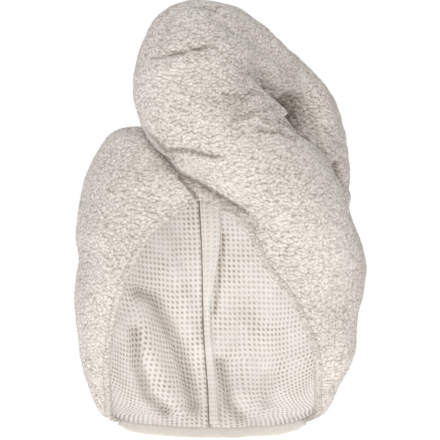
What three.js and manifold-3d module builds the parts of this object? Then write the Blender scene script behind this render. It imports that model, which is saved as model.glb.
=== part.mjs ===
// A hair turban towel in thick waffle cloth, in the shape that it has when it is worn.
//
// The frame is +Z up with the face opening towards -Y, so +X is the right-hand side of a front view.
// The origin is the seat on the head: the inside of the crown, where the top of the head touches it.
// The cloth is a hood of two panels, sewn to each other along the middle, whose top runs on into a tail.
// The tail is twisted, loops over the forehead and the crown, and is buttoned at the nape.
// All lengths are in millimetres and all angles in degrees.

import * as THREE from "three";
import { mergeVertices } from "three/addons/utils/BufferGeometryUtils.js";
import Module from "manifold-3d";

const wasm = await Module();
wasm.setup();

// Driving sizes
const HOOD_WIDTH = 212;
const HOOD_DEPTH = 208;
const HOOD_HEIGHT = 226;
const CLOTH = 3.2;
const TAIL_RADIUS = 46;
const TAIL_WALL = 13;
const FOLD_DEPTH = 5;
const FOLD_RISE = 8;
const FOLD_WIDTH = 24;
const TWIST_DEPTH = 2.4;
const TWIST_FOLDS = 3;
const TWIST_TURNS = 1.6;
const HEM_WIDTH = 5.4;
const HEM_PROUD = 0.7;
const BAND_HEIGHT = 8;
const BAND_PROUD = 0.5;
const SEAM_TAPE_WIDTH = 9;
const SEAM_TAPE_THICKNESS = 2.4;
const BUTTON_RADIUS = 11;
const BUTTON_THICKNESS = 3.4;
const SHANK_RADIUS = 2.6;

// Where the button sits along the tail, in rows of TAIL before its tip, and how far out through the tip it is
// drawn in, as a share of the tip's half thickness
const BUTTON_ROW = -0.45;
const PRESSED = 0.7;

// Clearances between pieces that touch on the real towel
const GAP = 0.3;
const HEM_GAP = 0.7;
const BAND_GAP = 0.8;

// Where the hems of the face opening start below its top and end above the nape, as shares of the drop,
// and the step that their direction is measured over
const HEM_START = 0.006;
const HEM_END = 0.97;
const RIM_PROBE = 0.004;

// Where the pressed seam allowance starts and ends, as shares of the drop
const TAPE_START = 0.33;
const TAPE_END = 0.985;

// The steps that the slopes of the cloth and of the tail's route are measured over, in degrees of turn, in
// drop and in rows of TAIL, and the least drop they are measured at, because the rings meet at the crown
const TURN_PROBE = 1;
const DROP_PROBE = 0.01;
const ROUTE_PROBE = 0.05;
const LEAST_DROP = 0.02;

// How square the section of a hem or band is, where 1 is an ellipse and 0 a rectangle
const ROUNDNESS = 0.6;

// Mesh steps, and the grid that its points are put on
const GRID = 0.01;
const CLOSED_RINGS = 10;
const OPEN_RINGS = 18;
const RING_STEPS = 42;
const RING_CROWDING = 1.35;
const OPENING_STEPS = 10;
const TAIL_STEPS = 46;
const TAIL_SIDES = 24;
const CAVITY_STEPS = 20;
const CAVITY_SIDES = 14;
const BAND_STEPS = 20;
const TAPE_STEPS = 16;
const STRIP_SIDES = 8;
const BUTTON_SIDES = 24;
const SHANK_SIDES = 12;

// Rings of the hood from the crown (drop 0) to the nape (drop 1). level is a share of HOOD_HEIGHT, and dip is
// how much lower the nape is than the two sides. left and right are shares of half HOOD_WIDTH, and middle,
// front and back of half HOOD_DEPTH.
const HOOD = [
  { drop: 0.0, level: 0.0, dip: 0, left: 0.0, right: 0.0, middle: -0.05, front: 0.0, back: 0.0 },
  { drop: 0.1, level: -0.01, dip: 0, left: 0.44, right: 0.33, middle: -0.04, front: 0.35, back: 0.36 },
  { drop: 0.18, level: -0.037, dip: 0, left: 0.7, right: 0.58, middle: -0.02, front: 0.6, back: 0.61 },
  { drop: 0.25, level: -0.09, dip: 0, left: 0.82, right: 0.74, middle: 0.0, front: 0.77, back: 0.77 },
  { drop: 0.31, level: -0.17, dip: 0, left: 0.905, right: 0.82, middle: 0.02, front: 0.89, back: 0.88 },
  { drop: 0.39, level: -0.28, dip: 0, left: 0.96, right: 0.92, middle: 0.04, front: 0.95, back: 0.96 },
  { drop: 0.48, level: -0.41, dip: 0, left: 0.96, right: 1.02, middle: 0.06, front: 0.95, back: 1.02 },
  { drop: 0.57, level: -0.54, dip: 0, left: 0.985, right: 1.035, middle: 0.08, front: 0.91, back: 1.02 },
  { drop: 0.66, level: -0.67, dip: 0, left: 0.975, right: 0.985, middle: 0.12, front: 0.82, back: 0.98 },
  { drop: 0.735, level: -0.775, dip: 0, left: 0.955, right: 0.945, middle: 0.19, front: 0.7, back: 0.89 },
  { drop: 0.8, level: -0.85, dip: 0.005, left: 0.9, right: 0.88, middle: 0.31, front: 0.55, back: 0.73 },
  { drop: 0.865, level: -0.905, dip: 0.012, left: 0.84, right: 0.82, middle: 0.46, front: 0.36, back: 0.51 },
  { drop: 0.945, level: -0.94, dip: 0.03, left: 0.78, right: 0.75, middle: 0.6, front: 0.16, back: 0.28 },
  { drop: 1.0, level: -0.955, dip: 0.045, left: 0.71, right: 0.67, middle: 0.67, front: 0.05, back: 0.16 },
];

// The face opening: how far round each ring the cloth reaches on each side of the nape.
// The ring is closed down to the first row, where the two angles make a full turn.
const RIM = [
  { drop: 0.372, left: 173, right: 187 },
  { drop: 0.39, left: 164, right: 176 },
  { drop: 0.41, left: 157, right: 169 },
  { drop: 0.435, left: 151, right: 165 },
  { drop: 0.48, left: 145, right: 161 },
  { drop: 0.525, left: 140, right: 157 },
  { drop: 0.57, left: 136, right: 150 },
  { drop: 0.66, left: 129, right: 137 },
  { drop: 0.735, left: 125, right: 128 },
  { drop: 0.8, left: 120, right: 122 },
  { drop: 0.865, left: 113, right: 114 },
  { drop: 0.945, left: 95, right: 95 },
  { drop: 1.0, left: 72, right: 72 },
];
const APEX = RIM[0].drop;

// Soft folds of the hood. push is a share of FOLD_DEPTH, outwards where it is positive.
// turn is 0 at the nape, 90 at the right ear and 180 at the forehead; slant is in degrees for the whole drop.
const HOOD_FOLDS = [
  { turn: -98, drop: 0.5, slant: 40, wide: 34, tall: 0.035, push: -0.9 },
  { turn: 96, drop: 0.52, slant: -30, wide: 32, tall: 0.07, push: 0.6 },
  { turn: -32, drop: 0.72, slant: 60, wide: 7, tall: 0.17, push: -1.1 },
  { turn: -20, drop: 0.7, slant: 26, wide: 6, tall: 0.2, push: 0.8 },
  { turn: 12, drop: 0.88, slant: -10, wide: 6, tall: 0.12, push: -0.9 },
  { turn: 24, drop: 0.72, slant: -14, wide: 8, tall: 0.2, push: 0.7 },
  { turn: -58, drop: 0.76, slant: 20, wide: 8, tall: 0.14, push: -0.8 },
  { turn: 62, drop: 0.8, slant: -40, wide: 10, tall: 0.1, push: -0.7 },
];

// The middle seam down the back, as shares of half HOOD_WIDTH across and of HOOD_HEIGHT down.
const BACK_SEAM = [
  { down: -0.3, across: -0.115 },
  { down: 0.24, across: -0.115 },
  { down: 0.4, across: -0.1 },
  { down: 0.7, across: -0.085 },
  { down: 0.88, across: -0.055 },
  { down: 1.3, across: 0.02 },
];

// How far forward of the middle the seam crosses the crown slantwise to the lap, as a share of HOOD_DEPTH
const CROWN_SHARE = 0.22;

// How far the lap's rolled edge has its crest from the line of the lap, as a share of FOLD_WIDTH, how steeply
// it falls off on both sides of that, and how far forward of the middle it is full, as a share of HOOD_DEPTH
const LAP_CREST = 0.5;
const LAP_FALL = 6;
const LAP_SHARE = 0.25;

// The line in front along which the right panel laps over the left one, in the same shares.
// rise is how much of FOLD_RISE the lap's rolled edge has there.
const FRONT_LAP = [
  { down: -0.3, across: -0.5, rise: 1 },
  { down: 0.014, across: -0.5, rise: 1 },
  { down: 0.098, across: -0.37, rise: 1 },
  { down: 0.165, across: -0.25, rise: 1 },
  { down: 0.196, across: -0.12, rise: 1 },
  { down: 0.253, across: 0.085, rise: 1 },
  { down: 0.284, across: 0.2, rise: 0.8 },
  { down: 0.34, across: 0.3, rise: 0.3 },
  { down: 0.42, across: 0.34, rise: 0 },
  { down: 1.3, across: 0.34, rise: 0 },
];

// The tail's route over the hood, from its root inside the right-hand panel to its tip at the nape.
// lift is how far its middle is from the cloth below it, and radius its half width, as shares of TAIL_RADIUS.
// flat is its thickness as a share of its width.
const TAIL = [
  { turn: 98, drop: 0.56, lift: -1, radius: 0.84, flat: 1 },
  { turn: 118, drop: 0.46, lift: -0.72, radius: 0.88, flat: 1 },
  { turn: 142, drop: 0.36, lift: -0.36, radius: 0.92, flat: 1 },
  { turn: 166, drop: 0.27, lift: 0.05, radius: 0.95, flat: 1 },
  { turn: 187, drop: 0.2, lift: 0.6, radius: 0.97, flat: 1 },
  { turn: 189, drop: 0.15, lift: 1.02, radius: 0.97, flat: 1 },
  { turn: 178, drop: 0.09, lift: 1.06, radius: 0.92, flat: 1 },
  { turn: 108, drop: 0.07, lift: 0.68, radius: 0.82, flat: 1 },
  { turn: 55, drop: 0.18, lift: 0.27, radius: 0.8, flat: 1 },
  { turn: 43, drop: 0.33, lift: 0.28, radius: 0.72, flat: 0.95 },
  { turn: 31, drop: 0.48, lift: 0.4, radius: 0.6, flat: 0.85 },
  { turn: 15, drop: 0.63, lift: 0.34, radius: 0.46, flat: 0.75 },
  { turn: 3, drop: 0.77, lift: 0.25, radius: 0.36, flat: 0.6 },
  { turn: 0, drop: 0.87, lift: 0.16, radius: 0.28, flat: 0.5 },
];
const CAVITY_FIRST = 1.3;
const CAVITY_LAST = 6.2;

/** The value of one column of a table at a place between its rows, on a smooth curve through them. */
function between(rows, key, at, column) {
  const last = rows.length - 1;
  let i = 0;
  while (i < last - 1 && at > rows[i + 1][key]) i += 1;
  const slope = (k) => {
    const a = rows[Math.max(k - 1, 0)];
    const b = rows[Math.min(k + 1, last)];
    return (b[column] - a[column]) / (b[key] - a[key]);
  };
  const span = rows[i + 1][key] - rows[i][key];
  const t = THREE.MathUtils.clamp((at - rows[i][key]) / span, 0, 1);
  const back = (1 - t) * (1 - t);
  const on = t * t;
  return (
    rows[i][column] * (1 + 2 * t) * back +
    rows[i + 1][column] * (3 - 2 * t) * on +
    span * (slope(i) * t * back - slope(i + 1) * on * (1 - t))
  );
}

/** How far a soft fold pushes the cloth at a place, as a share of its full push. */
function foldAt(fold, turn, drop) {
  const away = ((turn - fold.turn - fold.slant * (drop - fold.drop) + 540) % 360) - 180;
  return fold.push * Math.exp(-((away / fold.wide) ** 2) - ((drop - fold.drop) / fold.tall) ** 2);
}

/** A point of the hood's outer face, turn degrees round from the nape and drop of the way down. */
function hoodPoint(turn, drop) {
  const ring = (column) => between(HOOD, "drop", drop, column);
  const angle = THREE.MathUtils.degToRad(turn);
  const sine = Math.sin(angle);
  const cosine = Math.cos(angle);
  const push = FOLD_DEPTH * HOOD_FOLDS.reduce((sum, fold) => sum + foldAt(fold, turn, drop), 0);
  const across = (HOOD_WIDTH / 2) * ring(sine < 0 ? "left" : "right") + push;
  const deep = (HOOD_DEPTH / 2) * ring(cosine < 0 ? "front" : "back") + push;
  return new THREE.Vector3(
    across * sine,
    (HOOD_DEPTH / 2) * ring("middle") + deep * cosine,
    CLOTH + HOOD_HEIGHT * (ring("level") - ring("dip") * cosine),
  );
}

/** How far the right panel's rolled edge stands proud of the left panel at a point of the hood. */
function lapRise(point) {
  const down = (CLOTH - point.z) / HOOD_HEIGHT;
  const across = (HOOD_WIDTH / 2) * between(FRONT_LAP, "down", down, "across");
  const rise = FOLD_RISE * between(FRONT_LAP, "down", down, "rise");
  const away = (point.x - across) / FOLD_WIDTH;
  const onFront = THREE.MathUtils.smoothstep(-point.y, 0, LAP_SHARE * HOOD_DEPTH);
  return away < 0 ? 0 : onFront * rise * Math.exp(-LAP_FALL * (away - LAP_CREST) ** 2);
}

/** The hood's outward direction at a place, from the slopes of its outer face. */
function hoodNormal(turn, drop) {
  const low = Math.max(drop, LEAST_DROP);
  const round = hoodPoint(turn + TURN_PROBE, low).sub(hoodPoint(turn - TURN_PROBE, low));
  const down = hoodPoint(turn, low + DROP_PROBE).sub(hoodPoint(turn, low - DROP_PROBE));
  return round.cross(down).normalize();
}

/** A geometry with its like points joined, and without the triangles that this leaves with no area. */
function joined(positions, index) {
  const geometry = new THREE.BufferGeometry()
    .setAttribute("position", new THREE.BufferAttribute(new Float32Array(positions), 3))
    .setIndex(index);
  const merged = mergeVertices(geometry, 1e-3);
  const kept = [];
  for (let i = 0; i < merged.index.count; i += 3) {
    const [a, b, c] = [0, 1, 2].map((k) => merged.index.getX(i + k));
    if (a !== b && b !== c && c !== a) kept.push(a, b, c);
  }
  return merged.setIndex(kept);
}

/** A closed solid of the given points and triangles, turned so that its faces point out. */
function solid(points, triangles) {
  const geometry = joined(
    points.flatMap((p) => p.toArray()),
    triangles.flat(),
  );
  const vertProperties = geometry.attributes.position.array;
  const made = (triVerts) => new wasm.Manifold(new wasm.Mesh({ numProp: 3, vertProperties, triVerts }));
  const forward = made(new Uint32Array(geometry.index.array));
  return forward.volume() < 0 ? made(new Uint32Array(geometry.index.array).reverse()) : forward;
}

/** The two triangles of a four-sided face. */
const quad = (a, b, c, d) => [
  [a, b, c],
  [a, c, d],
];

/** A solid skinned over rows of points that each make a closed loop, with flat ends. */
function skin(loops) {
  const count = loops[0].length;
  const middle = (loop) => loop.reduce((sum, p) => sum.add(p), new THREE.Vector3()).divideScalar(count);
  const points = [...loops.flat(), middle(loops[0]), middle(loops.at(-1))];
  const first = points.length - 2;
  const triangles = [];
  for (let i = 0; i < count; i += 1) {
    const j = (i + 1) % count;
    for (let k = 0; k < loops.length - 1; k += 1) {
      triangles.push(...quad(k * count + i, (k + 1) * count + i, (k + 1) * count + j, k * count + j));
    }
    const end = (loops.length - 1) * count;
    triangles.push([first, i, j], [first + 1, end + j, end + i]);
  }
  return solid(points, triangles);
}

/** The drops of the hood's rings, crowded below the top of the face opening, where the rim turns. */
function ringDrops() {
  const closed = Array.from({ length: CLOSED_RINGS }, (_, i) => (APEX * i) / CLOSED_RINGS);
  const shares = Array.from({ length: OPEN_RINGS + 1 }, (_, i) => (i / OPEN_RINGS) ** RING_CROWDING);
  const open = shares.map((share) => APEX + (1 - APEX) * share);
  return [...closed, ...open];
}

/** How far round one ring of the hood reaches on each side: left negative, right positive. */
function ringEnds(drop) {
  const at = Math.max(drop, APEX);
  return [-between(RIM, "drop", at, "left"), between(RIM, "drop", at, "right")];
}

/** The turns of the points of one ring, from its left end round the back to its right end. */
function ringTurns(drop) {
  const [from, to] = ringEnds(drop);
  const turns = Array.from({ length: RING_STEPS + 1 }, (_, j) => from + ((to - from) * j) / RING_STEPS);
  if (drop <= APEX) turns[RING_STEPS] = from;
  return turns;
}

/** The whole hood as one sheet of cloth, open at the face, with or without the rolled edge of its lap. */
function hoodSheet(lapped) {
  const drops = ringDrops();
  const wide = RING_STEPS + 1;
  const outer = [];
  const inner = [];
  drops.forEach((drop) => {
    ringTurns(drop).forEach((turn) => {
      const point = hoodPoint(turn, drop);
      const normal = hoodNormal(turn, drop);
      outer.push(point.clone().addScaledVector(normal, lapped ? lapRise(point) : 0));
      inner.push(point.addScaledVector(normal, -CLOTH));
    });
  });
  const inside = outer.length;
  // The crown is one point on each face.
  for (let j = 1; j < wide; j += 1) {
    outer[j].copy(outer[0]);
    inner[j].copy(inner[0].copy(outer[0]).setZ(outer[0].z - CLOTH));
  }
  const triangles = [];
  for (let i = 0; i < drops.length - 1; i += 1) {
    for (let j = 0; j < RING_STEPS; j += 1) {
      const a = i * wide + j;
      const b = a + wide;
      triangles.push(...quad(a, b, b + 1, a + 1));
      triangles.push(...quad(inside + a, inside + a + 1, inside + b + 1, inside + b));
    }
    if (drops[i] >= APEX) {
      const left = i * wide;
      const right = left + RING_STEPS;
      triangles.push(...quad(left, inside + left, inside + left + wide, left + wide));
      triangles.push(...quad(right, right + wide, inside + right + wide, inside + right));
    }
  }
  const low = (drops.length - 1) * wide;
  for (let j = low; j < low + RING_STEPS; j += 1) {
    triangles.push(...quad(j, inside + j, inside + j + 1, j + 1));
  }
  return solid([...outer, ...inner], triangles);
}

/** The room inside the hood's outer face with its lap, grown by a clearance, with the face opening filled. */
function hoodRoom(grow) {
  const loops = ringDrops().map((drop) => {
    const [from, to] = ringEnds(drop);
    const gap = 360 - (to - from);
    const across = Array.from({ length: OPENING_STEPS - 1 }, (_, k) => to + (gap * (k + 1)) / OPENING_STEPS);
    return [...ringTurns(drop), ...across.map((turn) => (drop <= APEX ? from : turn))].map((turn) => {
      const point = hoodPoint(turn, drop);
      return point.addScaledVector(hoodNormal(turn, drop), grow + lapRise(point));
    });
  });
  const crown = hoodPoint(0, 0);
  loops[0].forEach((point) => point.copy(crown).setZ(crown.z + grow));
  return skin(loops);
}

/** The tail's route and its half width and flatness at a station counted in rows of TAIL. */
function tailStation(at) {
  const rows = TAIL.map((row, i) => {
    const point = hoodPoint(row.turn, row.drop);
    point.addScaledVector(hoodNormal(row.turn, row.drop), row.lift * TAIL_RADIUS);
    return { at: i, x: point.x, y: point.y, z: point.z, radius: row.radius, flat: row.flat };
  });
  const value = (column, where) => between(rows, "at", where, column);
  const point = (where) => new THREE.Vector3(value("x", where), value("y", where), value("z", where));
  const centre = point(at);
  const tangent = point(at + ROUTE_PROBE)
    .sub(point(at - ROUTE_PROBE))
    .normalize();
  const headMiddle = new THREE.Vector3(0, 0, -HOOD_HEIGHT / 2);
  const out = centre.clone().sub(headMiddle);
  out.addScaledVector(tangent, -out.dot(tangent)).normalize();
  const side = new THREE.Vector3().crossVectors(tangent, out);
  return { centre, out, side, radius: TAIL_RADIUS * value("radius", at), flat: value("flat", at) };
}

/** One loop of the tail or of its cavity: an oval round its route, smaller by inset. */
function tailLoop(at, sides, inset) {
  const { centre, out, side, radius, flat } = tailStation(at);
  const wound = (2 * Math.PI * TWIST_TURNS * at) / (TAIL.length - 1);
  return Array.from({ length: sides }, (_, i) => {
    const angle = (2 * Math.PI * i) / sides;
    const twist = (TWIST_DEPTH * Math.cos(TWIST_FOLDS * (angle - wound)) * radius) / TAIL_RADIUS;
    const fold = inset > 0 ? 0 : twist;
    return centre
      .clone()
      .addScaledVector(out, (radius * flat - inset + fold) * Math.cos(angle))
      .addScaledVector(side, (radius - inset + fold) * Math.sin(angle));
  });
}

/** The tail's outer form, from inside the hood to its tip. */
function tailForm() {
  const last = TAIL.length - 1;
  const rows = Array.from({ length: TAIL_STEPS + 1 }, (_, k) => (last * k) / TAIL_STEPS);
  return skin(rows.map((row) => tailLoop(row, TAIL_SIDES, 0)));
}

/** The hollow of the tail that the hair goes into, open to the hood below it. */
function tailCavity() {
  const span = CAVITY_LAST - CAVITY_FIRST;
  const loops = Array.from({ length: CAVITY_STEPS + 1 }, (_, k) => {
    const share = k / CAVITY_STEPS;
    return tailLoop(CAVITY_FIRST + span * share, CAVITY_SIDES, TAIL_WALL);
  });
  return skin(loops);
}

/** A sine or cosine of the strips' sections, pushed out towards the section's corners. */
const squared = (value) => Math.sign(value) * Math.abs(value) ** ROUNDNESS;

/** A rounded strip carried along stations, each with a middle and the two half sizes of its section. */
function strip(stations) {
  const loops = stations.map(({ middle, flatWay, thickWay, halfWidth, halfThickness }) =>
    Array.from({ length: STRIP_SIDES }, (_, i) => {
      const angle = (2 * Math.PI * (i + 0.5)) / STRIP_SIDES;
      return middle
        .clone()
        .addScaledVector(flatWay, halfWidth * squared(Math.cos(angle)))
        .addScaledVector(thickWay, halfThickness * squared(Math.sin(angle)));
    }),
  );
  return skin(loops);
}

/** The rolled hem along one side of the face opening, from beside its top to the nape band. */
function openingHem(side, grow) {
  const end = side < 0 ? 0 : 1;
  const rim = (drop) => hoodPoint(ringEnds(drop)[end], drop);
  const start = APEX + HEM_START;
  const drops = [start, ...ringDrops().filter((drop) => drop > start && drop < HEM_END), HEM_END];
  const stations = drops.map((drop) => {
    const turn = ringEnds(drop)[end];
    const normal = hoodNormal(turn, drop);
    const along = rim(drop + RIM_PROBE).sub(rim(drop - RIM_PROBE));
    const flatWay = new THREE.Vector3().crossVectors(along, normal).normalize().multiplyScalar(side);
    const middle = rim(drop)
      .addScaledVector(normal, -CLOTH / 2)
      .addScaledVector(flatWay, HEM_WIDTH / 2 + HEM_GAP);
    const halfThickness = CLOTH / 2 + HEM_PROUD + grow;
    return { middle, flatWay, thickWay: normal, halfWidth: HEM_WIDTH / 2 + grow, halfThickness };
  });
  return strip(stations);
}

/** The smooth band that binds the nape edge. */
function napeBand() {
  const [from, to] = ringEnds(1);
  const stations = Array.from({ length: BAND_STEPS + 1 }, (_, i) => {
    const turn = from + ((to - from) * i) / BAND_STEPS;
    const normal = hoodNormal(turn, 1);
    const round = hoodPoint(turn + TURN_PROBE, 1).sub(hoodPoint(turn - TURN_PROBE, 1)).normalize();
    const down = new THREE.Vector3(0, 0, -1).addScaledVector(round, round.z).normalize();
    const out = new THREE.Vector3().crossVectors(down, round).normalize();
    const middle = hoodPoint(turn, 1)
      .addScaledVector(normal, -CLOTH / 2)
      .addScaledVector(down, BAND_HEIGHT / 2 + BAND_GAP);
    const halfThickness = CLOTH / 2 + BAND_PROUD;
    return { middle, flatWay: down, thickWay: out, halfWidth: BAND_HEIGHT / 2, halfThickness };
  });
  return strip(stations);
}

/** The room on one side of the seam, which runs up the back, over the crown and down the lap in front. */
function besideSeam(side) {
  const far = side * HOOD_WIDTH;
  const downs = [...BACK_SEAM, ...FRONT_LAP].map((row) => row.down).sort((a, b) => a - b);
  const loops = [...new Set(downs)].map((down) => {
    const [back, front] = [BACK_SEAM, FRONT_LAP].map(
      (rows) => (HOOD_WIDTH / 2) * between(rows, "down", down, "across") + (side * GAP) / 2,
    );
    const z = CLOTH - HOOD_HEIGHT * down;
    return [
      [back, HOOD_DEPTH],
      [back, 0],
      [front, -CROWN_SHARE * HOOD_DEPTH],
      [front, -HOOD_DEPTH],
      [far, -HOOD_DEPTH],
      [far, HOOD_DEPTH],
    ].map(([x, y]) => new THREE.Vector3(x, y, z));
  });
  return skin(loops);
}

/** The half of the hood on one side of its seam, with the mouth of the tail and room for the hems cut out. */
function panel(side) {
  const hems = openingHem(-1, GAP).add(openingHem(1, GAP));
  const half = hoodSheet(side > 0).intersect(besideSeam(side));
  return largest(half.subtract(tailCavity()).subtract(hems));
}

/** The turn of the middle seam on a ring, where it runs down the back of the hood. */
function seamTurn(drop) {
  const across = between(BACK_SEAM, "down", -between(HOOD, "drop", drop, "level"), "across");
  return THREE.MathUtils.radToDeg(Math.asin(across / between(HOOD, "drop", drop, "left")));
}

/** The seam allowance, pressed to one side of the middle seam on the inside. */
function seamTape() {
  const stations = Array.from({ length: TAPE_STEPS + 1 }, (_, i) => {
    const drop = TAPE_START + (TAPE_END - TAPE_START) * (i / TAPE_STEPS);
    const seam = seamTurn(drop);
    const ring = hoodPoint(seam + TURN_PROBE, drop).sub(hoodPoint(seam, drop));
    const turn = seam + (TURN_PROBE * (SEAM_TAPE_WIDTH / 2 + GAP)) / ring.length();
    const normal = hoodNormal(turn, drop);
    const flatWay = hoodPoint(turn + TURN_PROBE, drop).sub(hoodPoint(turn - TURN_PROBE, drop)).normalize();
    const halfThickness = SEAM_TAPE_THICKNESS / 2;
    const middle = hoodPoint(turn, drop).addScaledVector(normal, -CLOTH - 2 * GAP - halfThickness);
    return { middle, flatWay, thickWay: normal, halfWidth: SEAM_TAPE_WIDTH / 2, halfThickness };
  });
  return strip(stations);
}

/** A round bar between two points. */
function bar(from, to, radius, sides) {
  const axis = to.clone().sub(from).normalize();
  const out = new THREE.Vector3(1, 0, 0).addScaledVector(axis, -axis.x).normalize();
  const side = new THREE.Vector3().crossVectors(axis, out);
  const loop = (point) =>
    Array.from({ length: sides }, (_, i) => {
      const angle = (2 * Math.PI * i) / sides;
      return point
        .clone()
        .addScaledVector(out, radius * Math.cos(angle))
        .addScaledVector(side, radius * Math.sin(angle));
    });
  return skin([loop(from), loop(to)]);
}

/** The largest separate body of a solid. */
function largest(made) {
  return made.decompose().reduce((best, body) => (body.volume() > best.volume() ? body : best));
}

/** A named mesh of a finished solid, with its points on a fine grid so that no edge is shorter than that. */
function mesh(name, made, material) {
  const { vertProperties, triVerts } = made.getMesh();
  const positions = Array.from(vertProperties, (value) => Math.round(value / GRID) * GRID);
  const geometry = joined(positions, Array.from(triVerts));
  geometry.computeVertexNormals();
  const named = new THREE.Mesh(geometry, material);
  named.name = name;
  return named;
}

// Where the tail's tip is buttoned: the foot of the shank on the hood, the way out of it,
// and how far out the button's disc sits, pressed a little into the cloth of the tip.
const buttonRow = TAIL.length - 1 + BUTTON_ROW;
const buttonRows = TAIL.map((row, i) => ({ ...row, at: i }));
const buttonPlace = ["turn", "drop"].map((column) => between(buttonRows, "at", buttonRow, column));
const buttonFoot = hoodPoint(...buttonPlace);
const buttonWay = hoodNormal(...buttonPlace);
const buttonTip = tailStation(buttonRow);
const tipHeight = buttonTip.centre.clone().sub(buttonFoot).dot(buttonWay);
const discReach = tipHeight + buttonTip.radius * buttonTip.flat * PRESSED;

/** The plain button with its shank, or the room for it when it is grown by a clearance and raised. */
function button(grow, raise) {
  const at = (reach) => buttonFoot.clone().addScaledVector(buttonWay, reach);
  const top = discReach + BUTTON_THICKNESS;
  const shank = bar(at(GAP - grow), at(discReach + BUTTON_THICKNESS / 2), SHANK_RADIUS + grow, SHANK_SIDES);
  const disc = bar(at(discReach - grow), at(top + raise), BUTTON_RADIUS + grow, BUTTON_SIDES);
  return shank.add(disc);
}

const cloth = new THREE.MeshStandardMaterial({ color: 0xd9d2ca, roughness: 0.95, metalness: 0 });
const plain = new THREE.MeshStandardMaterial({ color: 0xe9e4db, roughness: 0.9, metalness: 0 });
const buttonMaterial = new THREE.MeshStandardMaterial({ color: 0xe2d9cc, roughness: 0.5, metalness: 0 });

const tail = largest(
  tailForm()
    .subtract(tailCavity())
    .subtract(hoodRoom(GAP))
    .subtract(openingHem(1, GAP))
    .subtract(openingHem(-1, GAP))
    .subtract(button(GAP, TAIL_RADIUS)),
);

const turban = new THREE.Group();
turban.add(
  mesh("hood_panel_left", panel(-1), cloth),
  mesh("hood_panel_right", panel(1), cloth),
  mesh("twisted_tail", tail, cloth),
  mesh("opening_hem_left", openingHem(-1, 0), cloth),
  mesh("opening_hem_right", openingHem(1, 0), cloth),
  mesh("nape_band", napeBand(), plain),
  mesh("seam_allowance", seamTape(), plain),
  mesh("nape_button", button(0, 0), buttonMaterial),
);

export default turban;
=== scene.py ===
"""The looks of a hair turban towel in thick waffle cloth, in the shape that it has when it is worn.

The face opening is towards -Y and +X is the right-hand side of a front view. Shapes are worked out in
millimetres, and each mesh is written in metres. The hood's rings, its rim and the tail's route are the ones
that the solids are built from, so each piece lies where its solid does. The bulges and the fall of the nape
edge are in the looks only.
"""

import logging
from dataclasses import dataclass, field
from enum import Enum
from itertools import product

import bpy
import numpy as np
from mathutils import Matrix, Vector


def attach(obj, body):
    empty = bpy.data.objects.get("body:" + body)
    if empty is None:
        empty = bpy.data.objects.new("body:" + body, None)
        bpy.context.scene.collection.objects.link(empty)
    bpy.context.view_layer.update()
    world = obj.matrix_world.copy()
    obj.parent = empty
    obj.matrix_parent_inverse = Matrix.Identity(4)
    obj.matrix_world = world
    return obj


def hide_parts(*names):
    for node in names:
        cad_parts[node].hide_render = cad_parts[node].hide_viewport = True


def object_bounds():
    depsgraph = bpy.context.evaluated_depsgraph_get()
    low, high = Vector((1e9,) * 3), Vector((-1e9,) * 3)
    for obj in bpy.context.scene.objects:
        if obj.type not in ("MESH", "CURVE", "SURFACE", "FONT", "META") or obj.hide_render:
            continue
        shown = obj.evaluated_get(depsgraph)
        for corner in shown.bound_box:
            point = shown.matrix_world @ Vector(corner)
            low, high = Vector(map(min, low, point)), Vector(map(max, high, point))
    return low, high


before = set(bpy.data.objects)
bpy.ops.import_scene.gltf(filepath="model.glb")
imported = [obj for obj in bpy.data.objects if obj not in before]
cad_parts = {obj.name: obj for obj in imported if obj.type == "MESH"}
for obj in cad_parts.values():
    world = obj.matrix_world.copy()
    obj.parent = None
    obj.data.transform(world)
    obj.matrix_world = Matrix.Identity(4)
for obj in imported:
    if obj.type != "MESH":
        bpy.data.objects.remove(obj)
CAD_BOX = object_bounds()
LOG = logging.getLogger("turban")
METRE = 0.001
FULL_TURN = 360
HALF_TURN = 180
TINY = 1e-9
UV_NAME = "cloth"
# The mesh attribute that holds the painted shade of folds, creases and furrows
PAINTED_SHADE_NAME = "pit"
BUMPS_NAME = "Waffle bumps"
Array = np.ndarray
Span = tuple[float, float]
Triple = tuple[float, float, float]
Socket = bpy.types.NodeSocket


class Side(Enum):
    """The two halves of the towel. The value is the sign of X."""

    LEFT = -1
    RIGHT = 1


class Column(Enum):
    """The columns of the hood's table of rings."""

    LEVEL = 1
    DIP = 2
    LEFT = 3
    RIGHT = 4
    MIDDLE = 5
    FRONT = 6
    BACK = 7


def smooth_step(value: Array, low: float, high: float) -> Array:
    """A soft step from 0 at low to 1 at high: 3 t squared less 2 t cubed."""
    t = np.clip((value - low) / (high - low), 0, 1)
    return t * t * (3 - 2 * t)


def through(keys: Array, values: Array, at: Array) -> Array:
    """The value of a column at places between its rows.

    A cubic curve runs through the rows, and its slope at a row is the one between the rows on both sides.

    Args:
        keys: The rows' places, rising.
        values: The rows' values.
        at: The places asked for. Beyond the ends the end values hold.

    Returns:
        One value for each place.
    """
    last = len(keys) - 1
    before = np.maximum(np.arange(last + 1) - 1, 0)
    after = np.minimum(np.arange(last + 1) + 1, last)
    slope = (values[after] - values[before]) / (keys[after] - keys[before])
    i = np.clip(np.searchsorted(keys, at, side="left") - 1, 0, last - 1)
    span = keys[i + 1] - keys[i]
    t = np.clip((at - keys[i]) / span, 0, 1)
    back, on = (1 - t) ** 2, t * t
    ends = values[i] * (1 + 2 * t) * back + values[i + 1] * (3 - 2 * t) * on
    return ends + span * (slope[i] * t * back - slope[i + 1] * on * (1 - t))


def unit(vectors: Array) -> Array:
    """Vectors of the same directions with a length of 1."""
    return vectors / np.maximum(np.linalg.norm(vectors, axis=-1, keepdims=True), TINY)


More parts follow.
